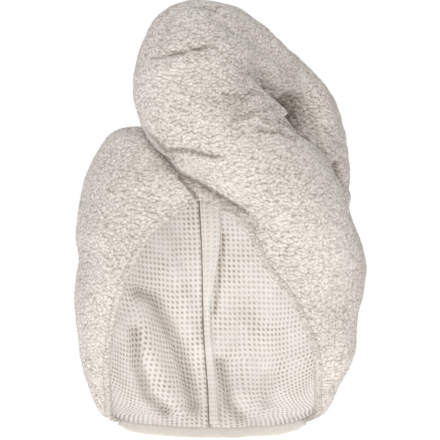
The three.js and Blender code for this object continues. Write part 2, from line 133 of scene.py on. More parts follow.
def running_length(points: Array, axis: int = 0) -> Array:
    """How far along a row of points each one is: the running sum of the steps, from 0."""
    steps = np.linalg.norm(np.diff(points, axis=axis), axis=-1).cumsum(axis=axis)
    return np.insert(steps, 0, 0, axis=axis)


def waves(points: Array, size: float, seed: int, count: int = 10) -> Array:
    """Soft unevenness between about -1 and 1: the mean of plane waves in seeded directions.

    Args:
        points: Places in millimetres.
        size: The usual length of a wave in millimetres.
        seed: Which set of waves.
        count: How many waves are added.

    Returns:
        One number for each place.
    """
    rng = np.random.default_rng(seed)
    ways = unit(rng.normal(size=(count, points.shape[-1])))
    shortest, longest, strength = 0.7, 1.5, 1.6
    rates = 2 * np.pi / (size * rng.uniform(shortest, longest, count))
    phases = rng.uniform(0, 2 * np.pi, count)
    return np.sin(points @ (ways * rates[:, None]).T + phases).sum(axis=-1) * (strength / count)


@dataclass(frozen=True)
class Line:
    """A bent line in the front view, with its points as (x, z) in millimetres from left to right."""

    points: tuple[Span, ...]

    def signed(self, x: Array, z: Array) -> tuple[Array, Array]:
        """Distances from the line, positive above it, and how far along it the nearest point is.

        Each place is measured to every stretch of the line, and the nearest one counts. The sign is that of
        the cross product of the stretch and the way to the place.

        Args:
            x: Places in the front view, across.
            z: Places in the front view, up.

        Returns:
            The signed distance and the length along the line, for each place.
        """
        ends = np.array(self.points, float)
        place = np.stack([x, z], axis=-1)[..., None, :]
        start, run = ends[:-1], np.diff(ends, axis=0)
        length = np.linalg.norm(run, axis=1)
        share = np.clip(((place - start) * run).sum(-1) / length**2, 0, 1)
        away = place - (start + share[..., None] * run)
        distance = np.linalg.norm(away, axis=-1)
        nearest = distance.argmin(-1)[..., None]
        cross = run[:, 0] * away[..., 1] - run[:, 1] * away[..., 0]
        along = np.concatenate([[0], np.cumsum(length)[:-1]]) + share * length
        parts = (cross, distance, along)
        side, off, far = (np.take_along_axis(part, nearest, -1)[..., 0] for part in parts)
        return np.where(side < 0, -off, off), far

    def length(self) -> float:
        """The line's whole length."""
        return float(np.linalg.norm(np.diff(np.array(self.points), axis=0), axis=1).sum())


def furrows(rows: tuple, x: Array, z: Array) -> tuple[Array, Array]:
    """The depths of several furrows added up, and the darkest of their shadows.

    A furrow is a bell over the distance from its line, so it fades over the line's ends.

    Args:
        rows: For each furrow its width, its depth, its shadow and the points of its line.
        x: Places in the front view, across.
        z: Places in the front view, up.

    Returns:
        The depth in millimetres and the shadow from 0 to 1 at each place.
    """
    depth, dark = np.zeros(x.shape), np.zeros(x.shape)
    for width, deep, shadow, points in rows:
        bell = np.exp(-((Line(points).signed(x, z)[0] / width) ** 2))
        depth = depth + deep * bell
        dark = np.maximum(dark, shadow * bell)
    return depth, dark


# The hood's rings: drop, level, dip, left, right, middle, front, back
RINGS = np.array([
    (0.0, 0.0, 0, 0.0, 0.0, -0.05, 0.0, 0.0),
    (0.1, -0.01, 0, 0.44, 0.33, -0.04, 0.35, 0.36),
    (0.18, -0.037, 0, 0.7, 0.58, -0.02, 0.6, 0.61),
    (0.25, -0.09, 0, 0.82, 0.74, 0.0, 0.77, 0.77),
    (0.31, -0.17, 0, 0.905, 0.82, 0.02, 0.89, 0.88),
    (0.39, -0.28, 0, 0.96, 0.92, 0.04, 0.95, 0.96),
    (0.48, -0.41, 0, 0.96, 1.02, 0.06, 0.95, 1.02),
    (0.57, -0.54, 0, 0.985, 1.035, 0.08, 0.91, 1.02),
    (0.66, -0.67, 0, 0.975, 0.985, 0.12, 0.82, 0.98),
    (0.735, -0.775, 0, 0.955, 0.945, 0.19, 0.7, 0.89),
    (0.8, -0.85, 0.005, 0.9, 0.88, 0.31, 0.55, 0.73),
    (0.865, -0.905, 0.012, 0.84, 0.82, 0.46, 0.36, 0.51),
    (0.945, -0.94, 0.03, 0.78, 0.75, 0.6, 0.16, 0.28),
    (1.0, -0.955, 0.045, 0.71, 0.67, 0.67, 0.05, 0.16),
])

# The face opening: drop, and how far round each ring the cloth reaches on the left and on the right
RIM = np.array([
    (0.372, 173, 187), (0.39, 164, 176), (0.41, 157, 169), (0.435, 151, 165), (0.48, 145, 161),
    (0.525, 140, 157), (0.57, 136, 150), (0.66, 129, 137), (0.735, 125, 128), (0.8, 120, 122),
    (0.865, 113, 114), (0.945, 95, 95), (1.0, 72, 72),
], float)

# Soft folds of the hood: turn, drop, slant, wide, tall, push
SOFT_FOLDS = (
    (-98, 0.5, 40, 34, 0.035, -0.9), (96, 0.52, -30, 32, 0.07, 0.6), (-32, 0.72, 60, 7, 0.17, -1.1),
    (-20, 0.7, 26, 6, 0.2, 0.8), (12, 0.88, -10, 6, 0.12, -0.9), (24, 0.72, -14, 8, 0.2, 0.7),
    (-58, 0.76, 20, 8, 0.14, -0.8), (62, 0.8, -40, 10, 0.1, -0.7),
)

# The middle seam down the back: down, across
BACK_SEAM = np.array([
    (-0.3, -0.115), (0.24, -0.115), (0.4, -0.1), (0.7, -0.085), (0.88, -0.055), (1.3, 0.02),
])

# The tail's route: turn, drop, lift, radius, flat
ROUTE = np.array([
    (98, 0.56, -1, 0.84, 1), (118, 0.46, -0.72, 0.88, 1), (142, 0.36, -0.36, 0.92, 1),
    (166, 0.27, 0.05, 0.95, 1), (187, 0.2, 0.6, 0.97, 1), (189, 0.15, 1.02, 0.97, 1),
    (178, 0.09, 1.06, 0.92, 1), (108, 0.07, 0.68, 0.82, 1), (55, 0.18, 0.27, 0.8, 1),
    (43, 0.33, 0.28, 0.72, 0.95), (31, 0.48, 0.4, 0.6, 0.85), (15, 0.63, 0.34, 0.46, 0.75),
    (3, 0.77, 0.25, 0.36, 0.6), (0, 0.87, 0.16, 0.28, 0.5),
])

# Where the right half laps over the left one, and where the wound tail comes out above the right half
LAP = Line((
    (-53, 0), (-39.2, -18.9), (-26.5, -34.1), (-12.7, -41.1), (9, -54), (21.2, -61), (31.8, -73.6),
    (36, -91.7),
))
TAIL_FOOT = Line((
    (-57.7, 5.2), (-48.1, -5.9), (-35.5, -18.5), (-24.4, -17.8), (-11.1, -20.7), (5.2, -24.4), (18.5, -11.8),
    (28.1, 0), (62.9, -14.8), (85.1, -26.6), (97.7, -57.7), (101.4, -67.3),
))
# The fold at the tail's foot: its half width, and the stretch of the line over which it fades
FOOT_FOLD = 2
FOOT_FADE = (66, 84)

# Furrows of the lining at the back: width, depth, shadow, points. A ridge has a depth below 0, and the
# shadow is how dark the cloth is at the bottom.
LINING_FURROWS = (
    (5, 8, 0.3, ((-60.7, -122.8), (-50.3, -128), (-31.1, -162.8), (-23.7, -182), (-16.3, -211.6))),
    (4, 6, 0.3, ((-62.9, -152.4), (-60.7, -177.6), (-53.3, -202), (-38.5, -214.6))),
    (7, -4, 0, ((-40.7, -78.4), (-25.9, -128), (-13.3, -165))),
    (8, -3, 0, ((23.7, -150), (23.7, -202))),
    (4, 5, 0.3, ((3.7, -177.6), (11.1, -209.4), (18.5, -219))),
    # The next row is only a painted shadow beside the seam allowance's right edge, with no furrow under it
    (1.8, 0, 0.5, ((6.5, -80), (3, -115.4), (-0.5, -140.6))),
    (5, 3.5, 0.1, ((40.7, -187), (40.7, -209))),
)
# They fade in over this stretch, counted down from the frame's middle
LINING_FADE = (40, 70)

# The crease of the outer face beside the lap, in the same columns
OUTER_FURROWS = ((1.9, 1.5, 0.9, ((-26, -37.5), (-18.5, -46.6), (-13.3, -52.5))),)

# Furrows of the wound tail in front, in the same columns
TAIL_FURROWS = (
    (1.6, 3.5, 0.85, ((-42.9, 48.1), (-26, 53), (-5.9, 57))),
    (6, -2.5, 0, ((-42, 40), (-5.9, 49))),
    (1.6, 4, 0.6, ((-11.1, 88), (1.5, 87))),
    (6, 4.5, 0.15, ((3, 82), (27, 64), (52, 50), (68, 36))),
    (7.5, 13, 0.65, ((64, 19), (61.5, 0))),
    (2.6, 3, 0.7, ((60, 21), (57.5, 9), (61, -4))),
    (12, 8, 0, ((34, 34), (52, 10), (70, -14))),
    (14, 4, 0.3, ((8, 17), (28, 11))),
    (13, 6, 0.3, ((36, 11), (54, 7))),
    (2.6, 2.5, 0.6, ((14, 3), (35, 11), (50, 14))),
    (2.6, 2.5, 0.65, ((30, -4), (46, -5), (58, -11))),
    (2.6, 2.5, 0.6, ((35, 3), (50, 2), (62, -6))),
    (2.6, 2.5, 0.5, ((8, 24), (28, 22), (46, 25))),
    (9, -8, 0, ((81, 30), (83, -12))),
    (10, -8, 0, ((64, -8), (82, -24), (94, -52))),
    (4, 8, 0.7, ((88, -26), (90.5, -36))),
    (2.5, 2.5, 0.3, ((84, -9), (101, -12))),
    (2.5, 2.5, 0.3, ((86, -18), (102, -24))),
    (2.5, 3, 0.3, ((92, -38), (103, -46))),
)

# Places where the hood is fuller than its rings: x, z, radius, push
BULGES = (
    (98, -46, 22, 3.5), (-100, -91, 16, 4), (-70, 0, 16, 3), (104, -165, 20, 3.5), (85, -210, 20, 3),
    (-84, -206, 22, 4),
)

# Soft waves of the hood's cloth and of the tail's: height, size, seed
HOOD_WAVES = ((0.9, 55, 3), (0.45, 22, 4))
TAIL_WAVES = ((1.3, 48, 8), (0.7, 20, 9))


def foot_sharpness(along: Array) -> Array:
    """How sharp the fold at the tail's foot is, from 1 to 0 along its line."""
    return 1 - smooth_step(along, *FOOT_FADE)


def fold_shadow(over: Array, along: Array) -> Array:
    """How deep in the fold at the tail's foot a place is, as a share of painted shade: a narrow bell across
    the sharp stretch.
    """
    return np.exp(-((over / FOOT_FOLD) ** 2)) * foot_sharpness(along)


def between(flat: Span, sharp: Span, share: Array) -> tuple[Array, Array]:
    """The ends of a soft step that go from one pair to another by a share from 0 to 1."""
    low, high = (start + (end - start) * share for start, end in zip(flat, sharp))
    return low, high


def wavy(points: Array, rows: tuple) -> Array:
    """The soft waves of one table at places in space, in millimetres."""
    return sum(height * waves(points, size, seed) for height, size, seed in rows)


def unevenness(points: Array) -> Array:
    """How far soft waves and bulges push the hood's cloth along its normal. A bulge is a round bell.

    Args:
        points: Points of the hood's smooth form.

    Returns:
        Millimetres, one for each point.
    """
    x, z = points[..., 0], points[..., 2]
    push = wavy(points, HOOD_WAVES)
    for across, up, radius, high in BULGES:
        push = push + high * np.exp(-((x - across) ** 2 + (z - up) ** 2) / radius**2)
    return push


@dataclass(frozen=True)
class Hood:
    """The hood's smooth form, as a function of turn round from the nape and of drop from the crown.

    The nape edge hangs lower than the rings by edge_fall, which begins at the drop edge_from. Where a turn
    is worked out, a ring's half width counts as least_half or more.
    """

    width: float = 212
    depth: float = 208
    height: float = 226
    cloth: float = 3.2
    fold: float = 5
    apex: float = 0.372
    lap_start: float = 0.31
    lap_rise: float = 9
    edge_fall: float = 5.5
    edge_from: float = 0.82
    least_half: float = 0.12
    turn_step: float = 1
    drop_step: float = 0.01
    samples: int = 1201

    def ring(self, drop: Array, column: Column) -> Array:
        """One column of the rings at the given drops."""
        return through(RINGS[:, 0], RINGS[:, column.value], drop)

    def point(self, turn: Array, drop: Array) -> Array:
        """Points of the outer face.

        A ring is an oval with its own half widths on the left, right, front and back. The soft folds push it
        out or in by bells over the turn and the drop.

        Args:
            turn: Degrees round from the nape.
            drop: Shares of the way down from the crown, 1 at the nape edge.

        Returns:
            The points in millimetres.
        """
        angle = np.radians(turn)
        sine, cosine = np.sin(angle), np.cos(angle)
        push = np.zeros(np.broadcast(turn, drop).shape)
        for at, low, slant, wide, tall, share in SOFT_FOLDS:
            away = (turn - at - slant * (drop - low) + HALF_TURN) % FULL_TURN - HALF_TURN
            push = push + self.fold * share * np.exp(-((away / wide) ** 2) - ((drop - low) / tall) ** 2)
        sideways = np.where(sine < 0, self.ring(drop, Column.LEFT), self.ring(drop, Column.RIGHT))
        lengthways = np.where(cosine < 0, self.ring(drop, Column.FRONT), self.ring(drop, Column.BACK))
        x = (self.width / 2 * sideways + push) * sine
        y = self.depth / 2 * self.ring(drop, Column.MIDDLE) + (self.depth / 2 * lengthways + push) * cosine
        level = self.ring(drop, Column.LEVEL) - self.ring(drop, Column.DIP) * cosine
        fall = self.edge_fall * smooth_step(drop, self.edge_from, 1)
        return np.stack(np.broadcast_arrays(x, y, self.cloth + self.height * level - fall), axis=-1)

    def normal(self, turn: Array, drop: Array) -> Array:
        """Outward directions: the slope round the ring crossed with the slope down the cloth.

        Args:
            turn: Degrees round from the nape.
            drop: Shares of the way down from the crown.

        Returns:
            One direction for each place.
        """
        low = np.maximum(drop, 2 * self.drop_step)
        down_way = self.point(turn, low + self.drop_step) - self.point(turn, low - self.drop_step)
        return unit(np.cross(self.round_way(turn, low), down_way))

    def round_way(self, turn: Array, drop: Array) -> Array:
        """The ways round the rings, from a little before each turn to a little after it."""
        return self.point(turn + self.turn_step, drop) - self.point(turn - self.turn_step, drop)

    def rim(self, drop: Array, side: Side) -> Array:
        """How far round the rings the cloth reaches on one side: left negative, right positive."""
        column = 1 if side is Side.LEFT else 2
        return side.value * through(RIM[:, 0], RIM[:, column], np.maximum(drop, self.apex))

    def seam(self, drop: Array) -> Array:
        """The turn of the middle seam down the back.

        Args:
            drop: Shares of the way down from the crown.

        Returns:
            Degrees round from the nape, one for each drop.
        """
        across = through(BACK_SEAM[:, 0], BACK_SEAM[:, 1], -self.ring(drop, Column.LEVEL))
        ratio = across / np.maximum(self.ring(drop, Column.LEFT), self.least_half)
        steepest = 0.98
        return np.degrees(np.arcsin(np.clip(ratio, -steepest, steepest)))

    def lap(self, drop: Array) -> Array:
        """The turn at which the right half ends over the left one, above the face opening.

        Down to the drop lap_start it follows the lap's line. From there it runs evenly to the rim's top.

        Args:
            drop: Rising shares of the way down from the crown.

        Returns:
            Degrees round from the nape, one for each drop.
        """
        level = self.cloth + self.height * self.ring(drop, Column.LEVEL)
        ends = np.array(LAP.points, float)[::-1]
        across = through(ends[:, 1], ends[:, 0], level)
        half = self.width / 2 * np.maximum(self.ring(drop, Column.LEFT), self.least_half)
        over = HALF_TURN - np.degrees(np.arcsin(np.clip(across / half, -1, 1)))
        start = float(np.interp(self.lap_start, drop, over))
        down = np.interp(drop, [self.lap_start, self.apex], [start, FULL_TURN - RIM[0, 1]])
        return np.where(drop < self.lap_start, over, down)

    def spaced_drops(self, count: int) -> Array:
        """Drops at even distances along the cloth, from the mean of four lines down the hood.

        Args:
            count: How many drops.

        Returns:
            The drops, from 0 to 1.
        """
        drop = np.linspace(0, 1, self.samples)
        lines = [self.point(np.full_like(drop, turn), drop) for turn in (-100, -10, 30, 100)]
        along = np.mean([running_length(line) for line in lines], axis=0)
        return np.interp(np.linspace(0, along[-1], count), along, drop)


HOOD = Hood()


@dataclass(frozen=True)
class Route:
    """The tail's middle line, its half width and its flatness, counted in rows of its table."""

    radius: float = 46
    twist_turns: float = 1.6
    step: float = 0.05
    samples: int = 600

    def station(self, row: Array) -> tuple[Array, Array, Array, Array, Array]:
        """The middle, the way out, the way sideways, the half width and the flatness at places of the route.

        The middle stands off the hood by the lift. The way out is from the hood's middle, squared to the
        route, and the way sideways is square to both.

        Args:
            row: Places along the route, counted in rows of its table.

        Returns:
            The five of them, each with one entry for a place.
        """
        count = np.arange(len(ROUTE), dtype=float)
        nodes = HOOD.point(ROUTE[:, 0], ROUTE[:, 1])
        nodes = nodes + HOOD.normal(ROUTE[:, 0], ROUTE[:, 1]) * ROUTE[:, 2:3] * self.radius

        def middle(at: Array) -> Array:
            """Points of the middle line."""
            return np.stack([through(count, nodes[:, k], at) for k in range(3)], axis=-1)

        centre = middle(row)
        along = unit(middle(row + self.step) - middle(row - self.step))
        out = centre - np.array([0, 0, -HOOD.height / 2])
        out = unit(out - along * (out * along).sum(-1, keepdims=True))
        side = np.cross(along, out)
        radius, flat = (through(count, ROUTE[:, k], row) for k in (3, 4))
        return centre, out, side, self.radius * radius, flat

    def rows(self, first: float, count: int) -> Array:
        """Places at even distances along the route.

        Args:
            first: Where they begin, counted in rows of the route's table.
            count: How many there are.

        Returns:
            The places from there to the tip, counted in rows too.
        """
        row = np.linspace(first, len(ROUTE) - 1, self.samples)
        along = running_length(self.station(row)[0])
        return np.interp(np.linspace(0, along[-1], count), along, row)


ROUTE_LINE = Route()


@dataclass(frozen=True)
class Nubs:
    """The bumps of the cloth's outer face: rounded, close together, each a little out of its place.

    The radius of a bump and its spread are shares of the pitch. The factors pick a bump's row of the drawn
    table from the number of its cell in each direction.
    """

    pitch: float = 3.2
    height: float = 0.8
    stray: float = 0.75
    radius: float = 0.74
    spread: float = 0.12
    seed: int = 5
    drawn: int = 4096
    factors: tuple[int, int, int] = (73, 1571, 311)

    def at(self, points: Array) -> Array:
        """The height of the bumps from 0 to 1 at places in space.

        Every place looks at the 27 bumps round it. A bump is a dome, 1 less the squared distance over its
        squared radius, and the highest one counts.

        Args:
            points: Places in millimetres.

        Returns:
            One number for each place.
        """
        table = np.random.default_rng(self.seed).uniform(-1, 1, (self.drawn, 4))
        place = points / self.pitch
        cell = np.floor(place).astype(int)
        best = np.zeros(points.shape[:-1])
        for offset in product((-1, 0, 1), repeat=3):
            near = cell + offset
            drawn = table[near @ self.factors % self.drawn]
            away = place - near - (1 + self.stray * drawn[..., :3]) / 2
            dome = 1 - (away**2).sum(-1) / (self.radius + self.spread * drawn[..., 3]) ** 2
            best = np.maximum(best, dome)
        return best


def surface_lengths(points: Array, origin: int) -> tuple[Array, Array]:
    """Distances over a grid of points: across from its column origin, and down from its first row."""
    across = running_length(points, axis=1)
    return across - across[:, origin : origin + 1], running_length(points)


def grid_normals(points: Array, near: Array) -> Array:
    """The directions square to a grid of points.

    Args:
        points: The grid of points.
        near: Directions on the side that the normals are to be on.

    Returns:
        One direction for each point.
    """
    across = np.gradient(points, axis=1)
    down = np.gradient(points, axis=0)
    normal = unit(np.cross(across, down))
    flip = np.sign((normal * near).sum(-1, keepdims=True))
    return normal * np.where(flip == 0, 1, flip)


def placed(name: str, data: bpy.types.ID) -> bpy.types.Object:
    """Makes an object and links it to the scene.

    Args:
        name: Its name.
        data: Its mesh, light or camera.

    Returns:
        The object.
    """
    made = bpy.data.objects.new(name, data)
    bpy.context.scene.collection.objects.link(made)
    return made


def shaped(name: str, points: Array, uv: Array, faces: list, finishes: list) -> bpy.types.Object:
    """Makes a smooth object with its UV map in metres.

    Args:
        name: Its name.
        points: Its points in millimetres.
        uv: The place of each point on the cloth laid flat, in millimetres.
        faces: Its faces as lists of indices.
        finishes: Its materials.

    Returns:
        The object, linked to the scene.
    """
    mesh = bpy.data.meshes.new(name)
    mesh.from_pydata((points * METRE).tolist(), [], faces)
    corner = np.empty(len(mesh.loops), np.int32)
    mesh.loops.foreach_get("vertex_index", corner)
    flat = (uv * METRE)[corner].astype(np.float32)
    mesh.uv_layers.new(name=UV_NAME).data.foreach_set("uv", flat.ravel())
    mesh.polygons.foreach_set("use_smooth", np.ones(len(mesh.polygons), bool))
    for finish in finishes:
        mesh.materials.append(finish)
    mesh.update()
    return placed(name, mesh)


def quads(index: Array) -> Array:
    """The four corners of each face of a grid of indices."""
    return np.stack([index[:-1, :-1], index[1:, :-1], index[1:, 1:], index[:-1, 1:]], -1).reshape(-1, 4)


@dataclass
class Cloth:
    """A closed piece of cloth: a fine outer face, an inner face half as fine, and edges that join them."""

    name: str
    outer: Array
    inner: Array
    outer_uv: Array
    # How much painted shade, from folds, creases and furrows, each point of the outer and of the inner face
    # gets
    painted_shades: Array
    inner_painted_shades: Array
    wrapped: bool = False

    def faces(self) -> tuple[list, list]:
        """The faces as lists of indices.

        A face of the grid joins a point with its neighbours across and down. Along an edge each step of the
        inner face meets two steps of the outer one in a five-sided face.

        Returns:
            The faces of the outer side with those of the edges, and the faces of the inner side.
        """
        rows, columns = self.outer.shape[:2]
        fine = np.arange(rows * columns).reshape(rows, columns)
        half_rows, half_columns = self.inner.shape[:2]
        coarse = rows * columns + np.arange(half_rows * half_columns).reshape(half_rows, half_columns)
        if self.wrapped:
            fine = np.concatenate([fine, fine[:, :1]], axis=1)
            coarse = np.concatenate([coarse, coarse[:, :1]], axis=1)

        def edge(line: Array, under: Array) -> Array:
            """The five-sided faces along one edge."""
            return np.stack([line[0:-2:2], line[1:-1:2], line[2::2], under[1:], under[:-1]], -1)

        edges = [edge(fine[0], coarse[0]), edge(fine[-1], coarse[-1])[:, ::-1]]
        if not self.wrapped:
            edges += [edge(fine[:, -1], coarse[:, -1]), edge(fine[:, 0], coarse[:, 0])[:, ::-1]]
        return quads(fine).tolist() + np.concatenate(edges).tolist(), quads(coarse)[:, ::-1].tolist()

    def build(self, outer_finish: bpy.types.Material, inner_finish: bpy.types.Material) -> bpy.types.Object:
        """Makes the object with its two finishes, its UV map in metres and the attribute of painted shade.

        Args:
            outer_finish: The material of the outer face and the edges.
            inner_finish: The material of the inner face.

        Returns:
            The object, linked to the scene.
        """
        outside, inside = self.faces()
        points = np.concatenate([self.outer.reshape(-1, 3), self.inner.reshape(-1, 3)])
        uv = np.concatenate([self.outer_uv.reshape(-1, 2), self.outer_uv[::2, ::2].reshape(-1, 2)])
        made = shaped(self.name, points, uv, outside + inside, [outer_finish, inner_finish])
        # The painted shade of the folds and furrows is kept in a mesh attribute that darkens the finishes
        painted_shades = np.concatenate([self.painted_shades.ravel(), self.inner_painted_shades.ravel()]).astype(np.float32)
        made.data.attributes.new(PAINTED_SHADE_NAME, "FLOAT", "POINT").data.foreach_set("value", painted_shades)
        slots = np.repeat([0, 1], [len(outside), len(inside)]).astype(np.int32)
        made.data.polygons.foreach_set("material_index", slots)
        return made


@dataclass
class Panel:
    """One half of the hood, with lengths in millimetres.

    A pair of numbers is where a soft step begins and where it ends. The lap ends in a rolled edge over a
    groove, which is tuck deep in the left half. The tail's root lifts the right half, and ridge_soft rounds
    the foot of that ridge. The tail's furrows go on over it, up to press deep.
    """

    side: Side
    rows: int = 265
    columns: int = 257
    first_drop: float = 0.004
    under: float = 6
    under_fade: float = 0.3
    front: Span = (0, 50)
    lap_fade: float = 75
    roll_width: float = 6
    roll_fade: float = 20
    groove: float = 3
    groove_below: float = 4
    groove_above: float = 1.6
    tuck: float = 1.2
    tuck_span: Span = (-1, 3)
    lap_end: Span = (-1, 6)
    root_rows: Span = (0.6, 3.5)
    root_balls: int = 40
    no_root: float = -40
    ridge_soft: float = 4
    ridge_rise: Span = (-1, 10)
    ridge_end_flat: Span = (-1, 12)
    ridge_end_sharp: Span = (-3, 7)
    press: float = 4
    press_rise: Span = (0, 8)
    press_rest: float = 1
    # Painted shade along the lap, in the tail's furrows and at the tail's foot, only towards the front
    lap_painted_shade: float = 0.85
    lap_painted_shade_reach: float = 1.7
    lap_painted_shade_fade: Span = (90, 115)
    wrinkle_painted_shade_rise: Span = (-16, -6)
    painted_shade_front: Span = (0, 40)
    behind: Span = (5, 40)
    bare_columns: int = 3
    nubs: Nubs = field(default_factory=Nubs)

    def turns(self, drops: Array) -> Array:
        """The turn of each point of the grid.

        Above the face opening a half reaches from the seam to the lap, and beside it to the rim. The left
        half runs on a little under the right one.

        Args:
            drops: The drop of each row of the grid.

        Returns:
            Degrees round from the nape, rows by columns.
        """
        share = np.linspace(0, 1, self.columns)
        lap = HOOD.lap(drops)
        if self.side is Side.RIGHT:
            first = HOOD.seam(drops)
            last = np.where(drops < HOOD.apex, lap, HOOD.rim(drops, Side.RIGHT))
        else:
            under = self.under * (1 - smooth_step(drops, self.under_fade, HOOD.apex))
            first = np.where(drops < HOOD.apex, lap - under, FULL_TURN + HOOD.rim(drops, Side.LEFT))
            last = FULL_TURN + HOOD.seam(drops)
        return first[:, None] + (last - first)[:, None] * share

    def tail_ridge(self, points: Array, normals: Array) -> Array:
        """How far the tail's root lifts the right half.

        The root is a row of balls along the route. Along each point's normal the farthest ball counts, which
        is the distance to the ball's middle plus the root of its squared radius less its squared offset.

        Args:
            points: Points of the hood's smooth form.
            normals: Their outward directions.

        Returns:
            Millimetres along the normals, below 0 away from the root.
        """
        centre, _, _, radius, _ = ROUTE_LINE.station(np.linspace(*self.root_rows, self.root_balls))
        lift = np.full(points.shape[:-1], self.no_root)
        for middle, size in zip(centre, radius):
            away = middle - points
            ahead = (away * normals).sum(-1)
            spare = size**2 - (away**2).sum(-1) + ahead**2
            half = np.sqrt(np.abs(spare))
            lift = np.maximum(lift, ahead + np.where(spare > 0, half, -2 * half))
        return lift

    def raised(self, points: Array, normals: Array) -> Array:
        """How far the cloth stands off the hood's smooth form: the lap's rolled edge and the tail's root.

        The rolled edge is a quarter of an oval that fades out above the lap. The groove under it is a bell.

        Args:
            points: Points of the hood's smooth form.
            normals: Their outward directions.

        Returns:
            Millimetres along the normals.
        """
        x, z = points[..., 0], points[..., 2]
        front = smooth_step(-points[..., 1], *self.front)
        above, along = LAP.signed(x, z)
        full = 1 - smooth_step(along, self.lap_fade, LAP.length())
        wide = np.where(above < 0, self.groove_below, self.groove_above)
        groove = -self.groove * np.exp(-((above / wide) ** 2)) * full
        if self.side is Side.LEFT:
            return front * (groove - self.tuck * smooth_step(above, *self.tuck_span))
        roll = np.sqrt(1 - (1 - np.clip(above / self.roll_width, 0, 1)) ** 2)
        roll = roll * np.exp(-((np.maximum(above - self.roll_width, 0) / self.roll_fade) ** 2))
        over, foot = TAIL_FOOT.signed(x, z)
        root = np.logaddexp(0, self.tail_ridge(points, normals) / self.ridge_soft)
        ridge = self.ridge_soft * root * smooth_step(above, *self.ridge_rise)
        ends = between(self.ridge_end_flat, self.ridge_end_sharp, foot_sharpness(foot))
        ridge = ridge * (1 - smooth_step(over, *ends))
        lap = HOOD.lap_rise * full * roll * (1 - smooth_step(over, *self.lap_end))
        return front * (np.hypot(lap, ridge) + groove)

    def pressed(self, points: Array, normals: Array, lift: Array) -> Array:
        """The right half's lift, less the tail's furrows that go on over it.

        The furrows' depth d is limited to press times 1 less e to the power of d over press.

        Args:
            points: Points of the hood's smooth form.
            normals: Their outward directions.
            lift: How far the cloth stands off them.

        Returns:
            The lift that is left, in millimetres.
        """
        place = points + normals * lift[..., None]
        deep = np.maximum(furrows(TAIL_FURROWS, place[..., 0], place[..., 2])[0], 0)
        deep = self.press * (1 - np.exp(-deep / self.press)) * smooth_step(-place[..., 1], *self.front)
        deep = deep * smooth_step(lift, *self.press_rise)
        return lift - np.minimum(deep, np.maximum(lift - self.press_rest, 0))

    def shadow(self, points: Array) -> Array:
        """How much painted shade each place gets, by how deep in a fold it is: along the lap, in the furrows
        and at the tail's foot.

        Args:
            points: Points of the panel's outer face.

        Returns:
            Shares from 0 to 1, one for each point.
        """
        x, z = points[..., 0], points[..., 2]
        above, along = LAP.signed(x, z)
        bell = np.exp(-((above / self.lap_painted_shade_reach) ** 2))
        dark = self.lap_painted_shade * bell * (1 - smooth_step(along, *self.lap_painted_shade_fade))
        dark = np.maximum(dark, furrows(OUTER_FURROWS, x, z)[1])
        if self.side is Side.RIGHT:
            over, foot = TAIL_FOOT.signed(x, z)
            wrinkle_painted_shade = furrows(TAIL_FURROWS, x, z)[1] * smooth_step(over, *self.wrinkle_painted_shade_rise)
            dark = np.maximum(np.maximum(dark, fold_shadow(over, foot)), wrinkle_painted_shade)
        return dark * smooth_step(-points[..., 1], *self.painted_shade_front)

    def shape(self) -> Cloth:
        """The panel's faces.

        The cloth is the hood's form, raised at the lap and the tail's root, pressed in by the lining's
        furrows and by soft waves, with the bumps on its outer face. The bumps fade out at the cut edges.

        Returns:
            The panel as a piece of cloth.
        """
        drops = HOOD.spaced_drops(self.rows)
        drops[0] = self.first_drop
        drop = np.repeat(drops[:, None], self.columns, axis=1)
        turn = self.turns(drops)
        base = HOOD.point(turn, drop)
        normal = HOOD.normal(turn, drop)
        x, z = base[..., 0], base[..., 2]
        behind = smooth_step(base[..., 1], *self.behind) * smooth_step(-z, *LINING_FADE)
        # fold is the painted shade at the bottom of the lining's furrows, at the back
        sag, fold = (part * behind for part in furrows(LINING_FURROWS, x, z))
        lift = self.raised(base, normal)
        if self.side is Side.RIGHT:
            lift = self.pressed(base, normal, lift)
        middle = base + normal * (lift + unevenness(base))[..., None]
        middle[..., 1] += sag
        run, fall = surface_lengths(middle, 0 if self.side is Side.RIGHT else self.columns - 1)
        nub = self.nubs.at(middle)
        column = np.arange(self.columns)
        edge = np.minimum(np.minimum(column, column[::-1]) / self.bare_columns, 1)
        outer = middle + grid_normals(middle, normal) * ((nub - 0.5) * self.nubs.height * edge)[..., None]
        inner = (middle - normal * HOOD.cloth)[::2, ::2]
        uv = np.stack([run, -fall], axis=-1)
        name = f"waffle_panel_{self.side.name.lower()}"
        # The panel's painted shade goes with its outer face, and that of the lining's furrows with its inner
        # face
        return Cloth(name, outer, inner, uv, self.shadow(middle), fold[::2, ::2])


